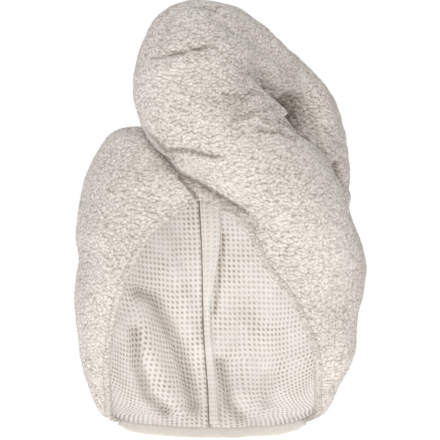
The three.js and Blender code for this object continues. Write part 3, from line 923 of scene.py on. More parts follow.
@dataclass(frozen=True)
class HoodRoom:
    """How far the hood reaches from a point inside it, in every direction."""

    heart: Triple = (0, 10, -100)
    steps: int = 120
    turns: int = 721
    drops: int = 500

    def reach(self, points: Array) -> tuple[Array, Array]:
        """For each point, its distance from the heart and the hood's outer face's distance that way.

        Samples of the hood are sorted into cells of azimuth and polar angle, and their mean is read between
        the four nearest cells.

        Args:
            points: Places in millimetres.

        Returns:
            The two distances, one of each for a point.
        """
        turn, drop = np.meshgrid(np.linspace(0, FULL_TURN, self.turns), np.linspace(0.001, 1, self.drops))
        ways = HOOD.point(turn, drop).reshape(-1, 3) - self.heart
        rows, columns, far = self.cells(ways)
        cell = (np.round(rows).astype(int), np.round(columns).astype(int) % (2 * self.steps))
        total, count = np.zeros((2, self.steps + 1, 2 * self.steps))
        np.add.at(total, cell, far)
        np.add.at(count, cell, 1)
        table = total / np.maximum(count, 1)
        for k in range(1, self.steps + 1):
            table[k] = np.where(count[k] > 0, table[k], table[k - 1])
        table[0] = table[1].mean()
        rows, columns, far = self.cells(points - self.heart)
        low, left = np.floor(rows).astype(int), np.floor(columns).astype(int)
        down, across = rows - low, columns - left
        under = np.minimum(low + 1, self.steps)
        right = (left + 1) % (2 * self.steps)
        left = left % (2 * self.steps)
        upper = table[low, left] * (1 - across) + table[low, right] * across
        lower = table[under, left] * (1 - across) + table[under, right] * across
        return far, upper * (1 - down) + lower * down

    def cells(self, ways: Array) -> tuple[Array, Array, Array]:
        """The cells that directions fall in, and their lengths.

        Args:
            ways: Vectors from the heart.

        Returns:
            The polar cell, the azimuth cell, both not rounded, and the length of each vector.
        """
        far = np.linalg.norm(ways, axis=-1)
        polar = np.arccos(np.clip(ways[..., 2] / np.maximum(far, TINY), -1, 1))
        azimuth = np.arctan2(ways[..., 1], ways[..., 0]) % (2 * np.pi)
        return polar / np.pi * self.steps, azimuth / np.pi * self.steps, far

    def outside(self, points: Array, clear: Array | float) -> Array:
        """Moves each point that is inside the hood straight out until it is clear of it.

        Args:
            points: Places in millimetres.
            clear: How far off the hood they are to be.

        Returns:
            The points after it.
        """
        far, reach = self.reach(points)
        share = np.maximum(far, reach + clear) / np.maximum(far, TINY)
        return self.heart + (points - self.heart) * share[..., None]


@dataclass
class Tail:
    """The twisted and wound end of the cloth, with its tip under the button.

    Lengths are in millimetres. The shank stands shank_row rows before the tip, and presses the cloth to a
    share of its height there. The foot is drawn back under the right half by tuck.
    """

    first: float = 3.05
    rows: int = 291
    columns: int = 216
    wall: float = 12
    least: float = 1.2
    twist_depth: float = 3.2
    twist_span: Span = (5.5, 8)
    twist_start: float = 0.35
    grooves: float = 3
    groove_power: float = 0.7
    groove_height: float = 1.3
    groove_level: float = 0.9
    sway: float = 5
    sway_span: Span = (64, 84)
    facing: Span = (0.05, 0.6)
    # Where the painted shade of the furrows shows, by how much the cloth faces the front
    painted_shade_facing: Span = (-0.1, 0.3)
    root_rows: Span = (4.6, 5.6)
    root_front: Span = (20, 60)
    hidden_flat: Span = (-12, 1)
    hidden_sharp: Span = (-9, 3.5)
    tuck: float = 34
    skin: float = 0.5
    sunk: float = 5
    room: float = 8
    shank_row: float = 0.45
    shank_share: float = 0.7
    button_gap: float = 0.4
    button_edge: Span = (11.5, 15)
    nubs: Nubs = field(default_factory=lambda: Nubs(seed=11))

    def loops(self, row: Array, angle: Array, inset: float) -> tuple[Array, Array]:
        """Ovals round the route.

        Args:
            row: Places along the route.
            angle: The angles round it, rows by columns.
            inset: How much smaller the ovals are.

        Returns:
            The points and their outward directions.
        """
        centre, out, side, radius, flat = ROUTE_LINE.station(row)
        cosine, sine = np.cos(angle)[..., None], np.sin(angle)[..., None]
        tall = np.maximum(radius * flat - inset, self.least)[:, None, None]
        wide = np.maximum(radius - inset, self.least)[:, None, None]
        points = centre[:, None] + out[:, None] * tall * cosine + side[:, None] * wide * sine
        return points, unit(out[:, None] * cosine + side[:, None] * sine)

    def button_dip(self, points: Array) -> Array:
        """Presses the cloth under the button in to the button's back.

        Args:
            points: Points of the tail's outer face.

        Returns:
            The points after it.
        """
        place = np.array([len(ROUTE) - 1 - self.shank_row])
        count = np.arange(len(ROUTE), dtype=float)
        turn, drop = (through(count, ROUTE[:, k], place) for k in (0, 1))
        foot, way = HOOD.point(turn, drop)[0], HOOD.normal(turn, drop)[0]
        centre, _, _, radius, flat = ROUTE_LINE.station(place)
        reach = (centre[0] - foot) @ way + radius[0] * flat[0] * self.shank_share - self.button_gap
        away = points - foot
        height = away @ way
        off = np.linalg.norm(away - height[..., None] * way, axis=-1)
        press = np.maximum(height - reach, 0) * (1 - smooth_step(off, *self.button_edge))
        return points - press[..., None] * way

    def twist(self, row: Array, angles: Array) -> Array:
        """How far the twist pushes the cloth out or in.

        It is a rounded wave round the route that turns along it and goes with the route's half width.

        Args:
            row: Places along the route.
            angles: The angles round it, rows by columns.

        Returns:
            Millimetres, rows by columns.
        """
        wound = 2 * np.pi * ROUTE_LINE.twist_turns * row / (len(ROUTE) - 1)
        wave = np.abs(np.sin(self.grooves / 2 * (angles - wound[:, None]))) ** self.groove_power
        share = self.twist_start + (1 - self.twist_start) * smooth_step(row, *self.twist_span)
        depth = self.twist_depth * share * ROUTE_LINE.station(row)[3] / ROUTE_LINE.radius
        return depth[:, None] * (self.groove_height * wave - self.groove_level)

    def shape(self) -> Cloth:
        """The tail's faces.

        The ovals along the route are grooved by the twist, furrowed in front, laid on the hood where they
        would be inside it, and drawn back under the right half at their foot. The bumps come last.

        Returns:
            The tail as a piece of cloth, closed round the route.
        """
        row = ROUTE_LINE.rows(self.first, self.rows)
        angle = np.linspace(-np.pi, np.pi, self.columns, endpoint=False)
        angles = np.repeat(angle[None], self.rows, axis=0)
        points, way = self.loops(row, angles, 0)
        points = points + way * (self.twist(row, angles) + wavy(points, TAIL_WAVES))[..., None]
        x, z = points[..., 0], points[..., 2]
        points[..., 0] -= self.sway * smooth_step(z, *self.sway_span)
        facing = smooth_step(-way[..., 1], *self.facing)
        # The furrows press the cloth in, and their shadow is painted shade
        pressed, dark = furrows(TAIL_FURROWS, x, z)
        pressed, dark = pressed * facing, dark * smooth_step(-way[..., 1], *self.painted_shade_facing)
        points = points - way * pressed[..., None]
        over, foot = TAIL_FOOT.signed(x, z)
        sharp = foot_sharpness(foot)
        root = 1 - smooth_step(row, *self.root_rows)
        root = root[:, None] * smooth_step(-points[..., 1], *self.root_front)
        hidden = root * (1 - smooth_step(over, *between(self.hidden_flat, self.hidden_sharp, sharp)))
        points[..., 1] += self.tuck * hidden
        room = HoodRoom()
        outer = self.button_dip(room.outside(points, self.skin - self.sunk * smooth_step(hidden, 0.5, 1)))
        # Painted shade in the furrows, the pocket and the fold at the tail's foot
        shadow = np.maximum(dark, fold_shadow(over, foot) * root * facing)
        run, along = surface_lengths(outer, self.columns // 2)
        bumps = (self.nubs.at(outer) - 0.5) * self.nubs.height
        outer = outer + grid_normals(outer, way) * bumps[..., None]
        inner = self.loops(row[::2], angles[::2, ::2], self.wall)[0] - (way * pressed[..., None])[::2, ::2]
        inner[..., 1] += self.tuck * hidden[::2, ::2]
        inner = room.outside(inner, self.room)
        uv = np.stack([run, -along], axis=-1)
        # The tail's inner face gets no painted shade
        no_painted_shades = np.zeros(inner.shape[:2])
        return Cloth("wound_tail", outer, inner, uv, np.clip(shadow, 0, 1), no_painted_shades, wrapped=True)


@dataclass(frozen=True)
class Strip:
    """A rounded strip carried along stations, with ridges across it.

    The power squares the oval: 1 leaves it round, and less makes it squarer. The ridges' wave is lowered by
    trough.
    """

    name: str
    middle: Array
    flat_way: Array
    thick_way: Array
    half_width: Array
    half_thickness: Array
    ridge_pitch: float
    ridge_height: float
    ridge_slant: float = 0
    sides: int = 20
    power: float = 0.7
    trough: float = 0.6

    def build(self, finish: bpy.types.Material) -> bpy.types.Object:
        """Makes the object: a squared oval at each station, raised by a cosine along the strip.

        Args:
            finish: Its material.

        Returns:
            The object, linked to the scene.
        """
        angle = np.pi + 2 * np.pi * (np.arange(self.sides) + 0.5) / self.sides
        circle = np.stack([np.cos(angle), np.sin(angle)])
        wide, thick = np.sign(circle) * np.abs(circle) ** self.power
        along = running_length(self.middle)
        phase = 2 * np.pi * (along[:, None] + self.ridge_slant * wide) / self.ridge_pitch
        ridge = self.ridge_height * (np.abs(np.cos(phase / 2)) - self.trough)
        across = (self.half_width[:, None] * wide)[..., None] * self.flat_way[:, None]
        outward = ((self.half_thickness[:, None] + ridge) * thick)[..., None] * self.thick_way[:, None]
        loops = self.middle[:, None] + across + outward
        count = len(along)
        points = np.concatenate([loops.reshape(-1, 3), self.middle[:1], self.middle[-1:]])
        index = np.arange(count * self.sides).reshape(count, self.sides)
        index = np.concatenate([index, index[:, :1]], axis=1)
        low, high = count * self.sides, count * self.sides + 1
        ends = [(low, b, a) for a, b in zip(index[0, :-1].tolist(), index[0, 1:].tolist())]
        ends += [(high, a, b) for a, b in zip(index[-1, :-1].tolist(), index[-1, 1:].tolist())]
        arc = (angle - np.pi) * self.half_width.max()
        uv = np.stack(np.broadcast_arrays(along[:, None], arc), -1).reshape(-1, 2)
        uv = np.concatenate([uv, uv[:1], uv[-1:]])
        return shaped(self.name, points, uv, quads(index)[:, [0, 3, 2, 1]].tolist() + ends, [finish])


@dataclass(frozen=True)
class Trim:
    """The hems of the face opening, the band at the nape and the allowance of the middle seam.

    Lengths are in millimetres, and a span is a stretch of drops. A negative gap is an overlap. The half
    widths of the band go by the turn from the nape, those of the tape by the drop. The ridges have a pitch,
    a height and a slant.
    """

    hem_stations: int = 420
    band_stations: int = 260
    tape_stations: int = 200
    hem_width: float = 5.4
    hem_overlap: float = 0.3
    hem_proud: float = 0.7
    hem_span: Span = (0.378, 0.985)
    hem_step: float = 0.004
    hem_start: float = 0.4
    hem_start_span: float = 0.03
    hem_taper: float = 0.55
    hem_taper_span: float = 0.06
    hem_thin: float = 0.75
    hem_ridges: Triple = (3.3, 0.4, 1.2)
    band_gap: float = -1.2
    band_proud: float = 0.7
    band_ridges: Span = (2.3, 0.5)
    band_turns: tuple[float, ...] = (0, 30, 45, 60, 72)
    band_widths: tuple[float, ...] = (4.2, 4.3, 4.2, 3.6, 2.4)
    tape_thickness: float = 1.8
    tape_gap: float = 0.3
    tape_under: float = 0.8
    tape_ridges: Span = (2.6, 0.15)
    tape_span: Span = (0.33, 0.985)
    tape_drops: tuple[float, ...] = (0.33, 0.42, 0.5, 0.57, 0.62, 0.7, 0.985)
    tape_widths: tuple[float, ...] = (6.5, 7.6, 6.4, 4.2, 2.6, 2.8, 3.6)

    def under(self, turn: Array, drop: Array, deep: float) -> Array:
        """Points at a depth under the hood's outer face, where its cloth is after the waves and bulges."""
        base = HOOD.point(turn, drop)
        return base + HOOD.normal(turn, drop) * (unevenness(base) - deep)[:, None]

    def hem(self, side: Side) -> Strip:
        """The rolled hem along one side of the face opening, set off the cloth's cut edge.

        It is thin at its top and at the nape, and full between them.

        Args:
            side: The half of the hood that it borders.

        Returns:
            The hem as a strip.
        """
        drop = np.linspace(*self.hem_span, self.hem_stations)
        turn = HOOD.rim(drop, side)
        normal = HOOD.normal(turn, drop)
        before, after = (
            HOOD.point(HOOD.rim(drop + step, side), drop + step) for step in (-self.hem_step, self.hem_step)
        )
        flat_way = unit(np.cross(after - before, normal)) * side.value
        first, last = self.hem_span
        full = self.hem_start + (1 - self.hem_start) * smooth_step(drop, first, first + self.hem_start_span)
        full = full - self.hem_taper * smooth_step(drop, last - self.hem_taper_span, last)
        wide = self.hem_width / 2 * full
        middle = self.under(turn, drop, HOOD.cloth / 2) + flat_way * (wide - self.hem_overlap)[:, None]
        thick = (HOOD.cloth / 2 + self.hem_proud) * (self.hem_thin + (1 - self.hem_thin) * full)
        name = f"rolled_hem_{side.name.lower()}"
        return Strip(name, middle, flat_way, normal, wide, thick, *self.hem_ridges)

    def band(self) -> Strip:
        """The smooth band that binds the nape edge, with fine ribs down it.

        Returns:
            The band as a strip that hangs from the nape edge.
        """
        first, last = (HOOD.rim(np.ones(1), side)[0] for side in Side)
        turn = np.linspace(first, last, self.band_stations)
        drop = np.ones_like(turn)
        round_way = unit(HOOD.round_way(turn, drop))
        down = unit(np.array([0, 0, -1.0]) + round_way * round_way[:, 2:])
        out = unit(np.cross(down, round_way))
        wide = np.interp(np.abs(turn), self.band_turns, self.band_widths)
        middle = self.under(turn, drop, HOOD.cloth / 2) + down * (wide + self.band_gap)[:, None]
        thick = np.full(len(turn), HOOD.cloth / 2 + self.band_proud)
        return Strip("ribbed_nape_band", middle, down, out, wide, thick, *self.band_ridges)

    def tape(self) -> Strip:
        """The seam allowance, wide at the top and pressed flat to the right of the seam.

        Returns:
            The allowance as a strip that follows the lining's furrows.
        """
        drop = np.linspace(*self.tape_span, self.tape_stations)
        seam = HOOD.seam(drop)
        wide = np.interp(drop, self.tape_drops, self.tape_widths)
        ring = np.linalg.norm(HOOD.point(seam + 1, drop) - HOOD.point(seam, drop), axis=-1)
        turn = seam + (wide + self.tape_gap) / ring
        base = HOOD.point(turn, drop)
        middle = self.under(turn, drop, HOOD.cloth + self.tape_under + self.tape_thickness / 2)
        sag = furrows(LINING_FURROWS, base[:, 0], base[:, 2])[0]
        middle[:, 1] += sag * smooth_step(-base[:, 2], *LINING_FADE)
        flat_way, normal = unit(HOOD.round_way(turn, drop)), HOOD.normal(turn, drop)
        thick = np.full(len(drop), self.tape_thickness / 2)
        return Strip("seam_strip", middle, flat_way, normal, wide, thick, *self.tape_ridges)


class Graph:
    """A node tree with short calls to add nodes and join them."""

    def __init__(self, tree: bpy.types.NodeTree) -> None:
        """Takes the tree that the nodes are added to."""
        self.tree = tree

    def node(self, kind: str, inputs: dict | None = None, **settings: object) -> bpy.types.Node:
        """Adds a node.

        Args:
            kind: Its type name without the leading ShaderNode.
            inputs: Values or sockets for its inputs, by name or number.
            settings: Its own properties.

        Returns:
            The node.
        """
        made = self.tree.nodes.new(kind if kind.startswith("NodeGroup") else f"ShaderNode{kind}")
        for key, value in settings.items():
            setattr(made, key, value)
        for key, value in (inputs or {}).items():
            if isinstance(value, bpy.types.NodeSocket):
                self.tree.links.new(value, made.inputs[key])
            else:
                made.inputs[key].default_value = value
        return made

    def math(self, operation: str, *values: Socket | float) -> Socket:
        """The output of a Math node."""
        return self.node("Math", dict(enumerate(values)), operation=operation).outputs[0]

    def mix(self, share: Socket, first: tuple, second: tuple) -> Socket:
        """A colour between two colours.

        Args:
            share: 0 for the first colour, 1 for the second.
            first: The first colour.
            second: The second colour.

        Returns:
            The mixed colour.
        """
        share_input, first_input, second_input = 0, 6, 7
        inputs = {share_input: share, first_input: first, second_input: second}
        return self.node("Mix", inputs, data_type="RGBA").outputs[2]

    def ramp(
        self, value: Socket, low: Socket | float, high: float, *ends: float, soft: bool = False
    ) -> Socket:
        """The output of a Map Range node.

        Args:
            value: What it maps.
            low: The value that gives its lower end.
            high: The value that gives its upper end.
            ends: The lower and the upper end, 0 and 1 if they are left out.
            soft: Whether it is a soft step, not a straight one.

        Returns:
            The mapped value.
        """
        inputs = {"Value": value, "From Min": low, "From Max": high}
        inputs.update(zip(("To Min", "To Max"), ends))
        kind = "SMOOTHSTEP" if soft else "LINEAR"
        return self.node("MapRange", inputs, interpolation_type=kind).outputs[0]

    def noise(self, place: Socket, scale: Socket | float, detail: float, roughness: float = 0.5) -> Socket:
        """The value of a noise texture, around one half."""
        inputs = {"Vector": place, "Scale": scale, "Detail": detail, "Roughness": roughness}
        return self.node("TexNoise", inputs).outputs[0]


def group_graph(name: str, inputs: dict[str, float], outputs: tuple[str, ...]) -> Graph:
    """Starts a node group of numbers.

    Args:
        name: Its name.
        inputs: Its inputs with their defaults.
        outputs: Its outputs.

    Returns:
        The graph that its nodes are added to.
    """
    tree = bpy.data.node_groups.new(name, "ShaderNodeTree")
    for label, default in inputs.items():
        socket = tree.interface.new_socket(label, in_out="INPUT", socket_type="NodeSocketFloat")
        socket.default_value = default
    for label in outputs:
        tree.interface.new_socket(label, in_out="OUTPUT", socket_type="NodeSocketFloat")
    return Graph(tree)


def yarn_group() -> bpy.types.NodeTree:
    """Builds the group that gives every cloth its yarn.

    Returns:
        A group whose tone is from 0 to 1, from fine and wide noise, and whose height is the fine noise.
    """
    graph = group_graph("Cotton yarn", {"Yarn size": 0.9, "Patch size": 30.0}, ("Tone", "Height"))
    given = graph.node("NodeGroupInput").outputs
    place = graph.node("TexCoord").outputs["Object"]
    fine_share, wide_share = 0.45, 0.55
    fine_scale = graph.math("DIVIDE", 1 / METRE, given["Yarn size"])
    wide_scale = graph.math("DIVIDE", 1 / METRE, given["Patch size"])
    fine = graph.noise(place, fine_scale, detail=2, roughness=0.6)
    wide = graph.noise(place, wide_scale, detail=3, roughness=0.55)
    parts = (graph.math("MULTIPLY", fine, fine_share), graph.math("MULTIPLY", wide, wide_share))
    graph.node("NodeGroupOutput", {"Tone": graph.math("ADD", *parts), "Height": fine})
    return graph.tree


def bump_group() -> bpy.types.NodeTree:
    """Builds the group that gives the outer face and the hems their small bumps.

    A bump is 1 less its squared distance from the middle of its cell. It leans, so that what is below the
    middle is higher. Its rim, and its lower side most, get painted shade, as under light from above.

    Returns:
        A group with the painted shade at the edges, the height of the bumps and a tint for each of them.
    """
    graph = group_graph(BUMPS_NAME, {"Pitch": 2.6, "Stray": 0.9}, ("Shade", "Height", "Tint"))
    given = graph.node("NodeGroupInput").outputs
    bend_scale, roundness, lean_height, rim_painted_shade_weight = 0.9, 1.5, 0.5, 0.55
    rim_painted_shade_span = (0.2, 0.85)
    place = graph.node("TexCoord").outputs["Object"]
    scale = graph.math("DIVIDE", 1 / METRE, given["Pitch"])
    cells = graph.node("VectorMath", {0: place, "Scale": scale}, operation="SCALE").outputs[0]
    bend = graph.node("TexNoise", {"Vector": cells, "Scale": bend_scale, "Detail": 1.0}).outputs["Color"]
    bent = graph.node("VectorMath", {0: cells, 1: bend}, operation="ADD").outputs[0]
    spots = graph.node("TexVoronoi", {"Vector": bent, "Scale": 1.0, "Randomness": given["Stray"]}).outputs
    away = graph.node("VectorMath", {0: spots["Position"], 1: bent}, operation="SUBTRACT").outputs[0]
    lean = graph.node("SeparateXYZ", {0: away}).outputs[2]
    far = spots["Distance"]
    hollow = graph.math("MULTIPLY", graph.math("MULTIPLY", far, far), roundness)
    dome = graph.math("SUBTRACT", 1.0, hollow)
    height = graph.math("ADD", dome, graph.math("MULTIPLY", lean, lean_height))
    # Painted shade: darker towards each bump's rim, and more on its lower side, as under light from above
    edge = graph.math("ADD", graph.math("MULTIPLY", far, rim_painted_shade_weight), lean)
    tint = graph.node("SeparateXYZ", {0: spots["Color"]}).outputs[0]
    shade = graph.ramp(edge, *rim_painted_shade_span, soft=True)
    graph.node("NodeGroupOutput", {"Shade": shade, "Height": height, "Tint": tint})
    return graph.tree


def linear(red: float, green: float, blue: float) -> tuple[float, float, float, float]:
    """The linear colour of a screen colour.

    Args:
        red: The screen's red from 0 to 255.
        green: The screen's green.
        blue: The screen's blue.

    Returns:
        Linear red, green and blue from 0 to 1, and 1 for opaque.
    """
    share = np.array([red, green, blue]) / 255
    value = np.where(share <= 0.04045, share / 12.92, ((share + 0.055) / 1.055) ** 2.4)
    return (*value.tolist(), 1.0)


@dataclass(frozen=True)
class ClothFinish:
    """The finish of one kind of cloth.

    Its colour goes from light to dark by the cloth's own pattern, with its painted shade, and by the yarn's
    tone. The sizes of the yarn and of its patches and the depth of the bump are in millimetres.
    """

    name: str
    light: Triple
    dark: Triple
    yarn: float = 0.9
    patch: float = 34
    tone: float = 0.3
    tone_span: Span = (0.3, 0.7)
    yarn_height: float = 0.4
    bump: float = 0.35
    depth: float = 0.4
    roughness: float = 0.92
    gloss: float = 0.15
    sheen: float = 0.25
    sheen_roughness: float = 0.5

    def pattern(self, graph: Graph) -> tuple[Socket | float, Socket | float]:
        """The share of dark colour and the height of the cloth's own pattern. Plain cloth has none."""
        return 0.0, 0.0

    def build(self, yarns: bpy.types.NodeTree) -> bpy.types.Material:
        """Makes the material.

        Args:
            yarns: The group that all cloths share.

        Returns:
            The material, with its pattern in the colour and the bump.
        """
        made = bpy.data.materials.new(self.name)
        made.use_nodes = True
        made.node_tree.nodes.clear()
        graph = Graph(made.node_tree)
        sizes = {"Yarn size": self.yarn, "Patch size": self.patch}
        yarn = graph.node("Group", sizes, node_tree=yarns).outputs
        shade, height = self.pattern(graph)
        tone = graph.math("MULTIPLY", graph.ramp(yarn["Tone"], *self.tone_span), self.tone)
        # The pattern's painted shade and the yarn's tone darken the colour together
        share = graph.node("Math", {0: shade, 1: tone}, operation="ADD", use_clamp=True).outputs[0]
        level = graph.math("ADD", graph.math("MULTIPLY", yarn["Height"], self.yarn_height), height)
        bump = graph.node("Bump", {"Strength": self.bump, "Distance": self.depth * METRE, "Height": level})
        shader = graph.node("BsdfPrincipled", {
            "Base Color": graph.mix(share, linear(*self.light), linear(*self.dark)),
            "Roughness": self.roughness,
            "Specular IOR Level": self.gloss,
            "Sheen Weight": self.sheen,
            "Sheen Roughness": self.sheen_roughness,
            "Normal": bump.outputs[0],
        })
        graph.node("OutputMaterial", {0: shader.outputs[0]})
        return made


@dataclass(frozen=True)
class NubbyFinish(ClothFinish):
    """The outer face and the hems: small bumps with painted shade at their edges, and more painted shade in
    the folds.
    """

    pitch: float = 2.6
    # edge and fold set how strong the painted shade of the bumps' edges and of the folds is; tint is a
    # random tone for each bump
    edge: float = 0.46
    tint: float = 0.25
    fold: float = 0.75
    fold_painted_shade_span: Span = (0.2, 0.95)

    def pattern(self, graph: Graph) -> tuple[Socket | float, Socket | float]:
        """The bumps and their painted shade come from their group, and the painted shade of the folds from
        the mesh's attribute.

        Args:
            graph: The graph of the material.

        Returns:
            The share of dark colour and the height.
        """
        group = bpy.data.node_groups[BUMPS_NAME]
        bumps = graph.node("Group", {"Pitch": self.pitch}, node_tree=group).outputs
        pit = graph.node("Attribute", attribute_name=PAINTED_SHADE_NAME).outputs["Fac"]
        edges = graph.math("MULTIPLY", bumps["Shade"], self.edge)
        tints = graph.math("MULTIPLY", bumps["Tint"], self.tint)
        fold_painted_shade = graph.math("MULTIPLY", graph.ramp(pit, *self.fold_painted_shade_span), self.fold)
        return graph.math("ADD", graph.math("ADD", edges, tints), fold_painted_shade), bumps["Height"]


@dataclass(frozen=True)
class WaffleFinish(ClothFinish):
    """The inner face: a regular grid of small hollows with painted shade in them, that follows the seam.

    The hollows are across by down millimetres apart. Their painted shade is fainter in some patches, and
    stronger in the folds, which get painted shade of their own as well. The seam's dark line is of uneven
    breadth, in metres.
    """

    across: float = 3.85
    down: float = 4.1
    slant: float = 0.7
    contrast: float = 1
    patch_scale: float = 45
    knot_scale: float = 260
    spot_span: Span = (0.45, 0.05)
    patch_span: Span = (0.35, 0.65)
    patch_strength: Span = (0.3, 0.75)
    fold_painted_shade_strength: float = 0.4
    seam_breadth: float = 0.0028
    seam_core: float = 0.0001
    seam_stray: float = 0.0022
    seam_dark: float = 0.85

    def pattern(self, graph: Graph) -> tuple[Socket | float, Socket | float]:
        """The hollows are slanted round spots of painted shade in the middle of each cell of the cloth's own
        UV map.

        Args:
            graph: The graph of the material.

        Returns:
            The share of dark colour and the height.
        """
        parts = graph.node("SeparateXYZ", {0: graph.node("UVMap", uv_map=UV_NAME).outputs[0]}).outputs
        offsets = []
        for socket, pitch in ((parts[0], self.across), (parts[1], self.down)):
            cell = graph.math("FRACT", graph.math("DIVIDE", socket, pitch * METRE))
            offsets.append(graph.math("SUBTRACT", cell, 0.5))
        squares = [graph.math("MULTIPLY", value, value) for value in offsets]
        slant = graph.math("MULTIPLY", graph.math("MULTIPLY", *offsets), self.slant)
        away = graph.math("SQRT", graph.math("ADD", graph.math("ADD", *squares), slant))
        spot = graph.ramp(away, *self.spot_span, soft=True)
        place = graph.node("TexCoord").outputs["Object"]
        patches = graph.noise(place, self.patch_scale, detail=2)
        knots = graph.noise(place, self.knot_scale, detail=1)
        stray = graph.math("MULTIPLY", graph.math("SUBTRACT", knots, 0.5), self.seam_stray)
        beside = graph.math("ABSOLUTE", graph.math("ADD", parts[0], stray))
        breadth = graph.math("MULTIPLY", patches, self.seam_breadth)
        seam = graph.ramp(beside, breadth, self.seam_core, 0, self.seam_dark)
        pit = graph.node("Attribute", attribute_name=PAINTED_SHADE_NAME).outputs["Fac"]
        faint = graph.ramp(patches, *self.patch_span, *self.patch_strength)
        strength = graph.math("ADD", faint, graph.math("MULTIPLY", pit, self.fold_painted_shade_strength))
        strength = graph.math("MULTIPLY", strength, self.contrast)
        # Painted shade in the hollows, the seam's dark line, and the painted shade of the folds from the
        # mesh's attribute
        shade = graph.math("MAXIMUM", graph.math("MULTIPLY", spot, strength), seam)
        return graph.math("ADD", shade, pit), graph.math("SUBTRACT", 1.0, spot)


@dataclass(frozen=True)
class Studio:
    """The floor, the lights, the surroundings and the camera, in metres."""

    distance: float = 4.0
    frame_width: float = 0.3256
    aim: Triple = (0.0037, -0.03, -0.0688)
    sensor: float = 36
    clip: Span = (0.1, 50)
    floor_half: float = 0.55
    floor_gap: float = 0.006
    floor_grey: float = 0.93
    floor_rough: float = 0.8
    floor_glow: float = 0.8
    surroundings_power: float = 0.62
    light_size: float = 1
    lights: tuple[tuple, ...] = (
        ("key", (-0.7, -1.5, 1.6), 16), ("front", (-0.3, -2.8, -0.1), 27), ("right", (1.6, -1.2, -0.1), 3),
    )

    def light(self, name: str, place: Triple, power: float) -> None:
        """Adds a soft square light that faces the towel.

        Args:
            name: Its name.
            place: Where it stands, in metres.
            power: Its power in watts.
        """
        data = bpy.data.lights.new(name, "AREA")
        data.size = self.light_size
        data.energy = power
        made = placed(name, data)
        made.location = place
        made.rotation_euler = (Vector(self.aim) - Vector(place)).to_track_quat("-Z", "Y").to_euler()

    def floor(self, level: float) -> None:
        """Adds the pale floor under the towel.

        Args:
            level: Its height in metres.
        """
        half, white = self.floor_half, (1, 1, 1, 1)
        corners = [(-half, -half, level), (half, -half, level), (half, half, level), (-half, half, level)]
        mesh = bpy.data.meshes.new("pale_floor")
        mesh.from_pydata(corners, [], [(0, 1, 2, 3)])
        finish = bpy.data.materials.new("pale floor")
        finish.use_nodes = True
        inputs = finish.node_tree.nodes["Principled BSDF"].inputs
        inputs["Base Color"].default_value = (self.floor_grey, self.floor_grey, self.floor_grey, 1)
        inputs["Roughness"].default_value = self.floor_rough
        inputs["Emission Color"].default_value = white
        inputs["Emission Strength"].default_value = self.floor_glow
        mesh.materials.append(finish)
        placed("pale_floor", mesh)

    def surroundings(self) -> None:
        """Lights the scene evenly from all round, and leaves the backdrop white."""
        world = bpy.data.worlds.new("white studio")
        bpy.context.scene.world = world
        world.use_nodes = True
        world.node_tree.nodes.clear()
        graph = Graph(world.node_tree)
        seen = graph.node("LightPath").outputs["Is Camera Ray"]
        rest = graph.math("MULTIPLY", seen, 1 - self.surroundings_power)
        power = graph.math("ADD", rest, self.surroundings_power)
        back = graph.node("Background", {"Color": (1, 1, 1, 1), "Strength": power})
        graph.node("OutputWorld", {0: back.outputs[0]})

    def camera(self) -> None:
        """Adds the camera: level, straight in front, with a long lens."""
        data = bpy.data.cameras.new("front")
        data.sensor_width = self.sensor
        data.lens = self.sensor * self.distance / self.frame_width
        data.clip_start, data.clip_end = self.clip
        made = placed("front", data)
        made.location = (self.aim[0], self.aim[1] - self.distance, self.aim[2])
        made.rotation_euler = (np.pi / 2, 0, 0)
        bpy.context.scene.camera = made

    def build(self, lowest: float) -> None:
        """Sets up the whole studio.

        Args:
            lowest: The height of the towel's lowest point in metres.
        """
        self.camera()
        self.floor(lowest - self.floor_gap)
        self.surroundings()
        for name, place, power in self.lights:
            self.light(name, place, power)
        bpy.context.scene.view_settings.view_transform = "Standard"


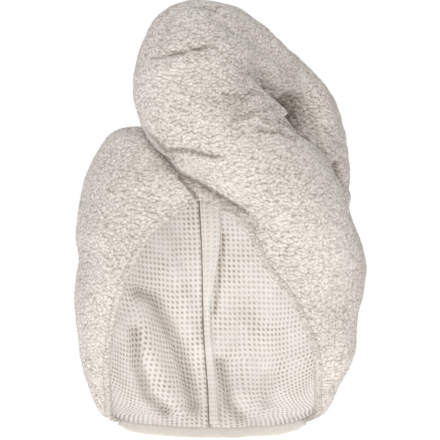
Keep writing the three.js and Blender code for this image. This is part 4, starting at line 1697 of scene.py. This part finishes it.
@dataclass(frozen=True)
class Palette:
    """All the finishes of the towel."""

    outer: ClothFinish = NubbyFinish(
        "nubby waffle face", (232, 225, 218), (138, 126, 114), bump=1, depth=0.9
    )
    lining: ClothFinish = WaffleFinish(
        "waffle lining", (249, 246, 243), (160, 145, 129), yarn=1.2, bump=0.6, depth=0.6
    )
    hem: ClothFinish = NubbyFinish(
        "hem cloth", (219, 213, 205), (134, 122, 110), bump=1, depth=0.8, pitch=2.4
    )
    pressed: ClothFinish = WaffleFinish(
        "pressed lining", (247, 244, 240), (160, 145, 129), bump=0.4, contrast=0.5
    )
    plain: ClothFinish = ClothFinish("plain binding", (209, 204, 197), (174, 166, 157), yarn=1.3, bump=0.8)
    button: ClothFinish = ClothFinish(
        "matte button", (224, 216, 204), (200, 190, 176), yarn=2, bump=0.05, sheen=0
    )


def dress(made: bpy.types.Object, node: str) -> None:
    """Rides a piece on the towel's one body, in the place of its solid, and reports it.

    Args:
        made: The piece.
        node: The name of its solid.
    """
    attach(made, "root")
    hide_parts(node)
    triangles = sum(len(face.vertices) - 2 for face in made.data.polygons)
    LOG.info("%s: %d triangles", made.name, triangles)


def main() -> None:
    """Builds the towel piece by piece, then the studio."""
    logging.basicConfig(level=logging.INFO, format="%(message)s")
    palette, yarns = Palette(), yarn_group()
    bump_group()
    finishes = (palette.outer, palette.lining, palette.hem, palette.pressed, palette.plain, palette.button)
    outer, lining, hem, pressed, plain, matte = (finish.build(yarns) for finish in finishes)
    panels = {side: Panel(side).shape().build(outer, lining) for side in Side}
    tail = Tail().shape().build(outer, lining)
    trim = Trim()
    hems = {side: trim.hem(side).build(hem) for side in Side}
    band = trim.band().build(plain)
    tape = trim.tape().build(pressed)
    for side in Side:
        name = side.name.lower()
        dress(panels[side], f"hood_panel_{name}")
        dress(hems[side], f"opening_hem_{name}")
    dress(tail, "twisted_tail")
    dress(band, "nape_band")
    dress(tape, "seam_allowance")
    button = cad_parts["nape_button"]
    button.data.materials.clear()
    button.data.materials.append(matte)
    LOG.info("%s: its solid, with a finish of its own", button.name)
    Studio().build(CAD_BOX[0][2])


if __name__ == "__main__":
    main()
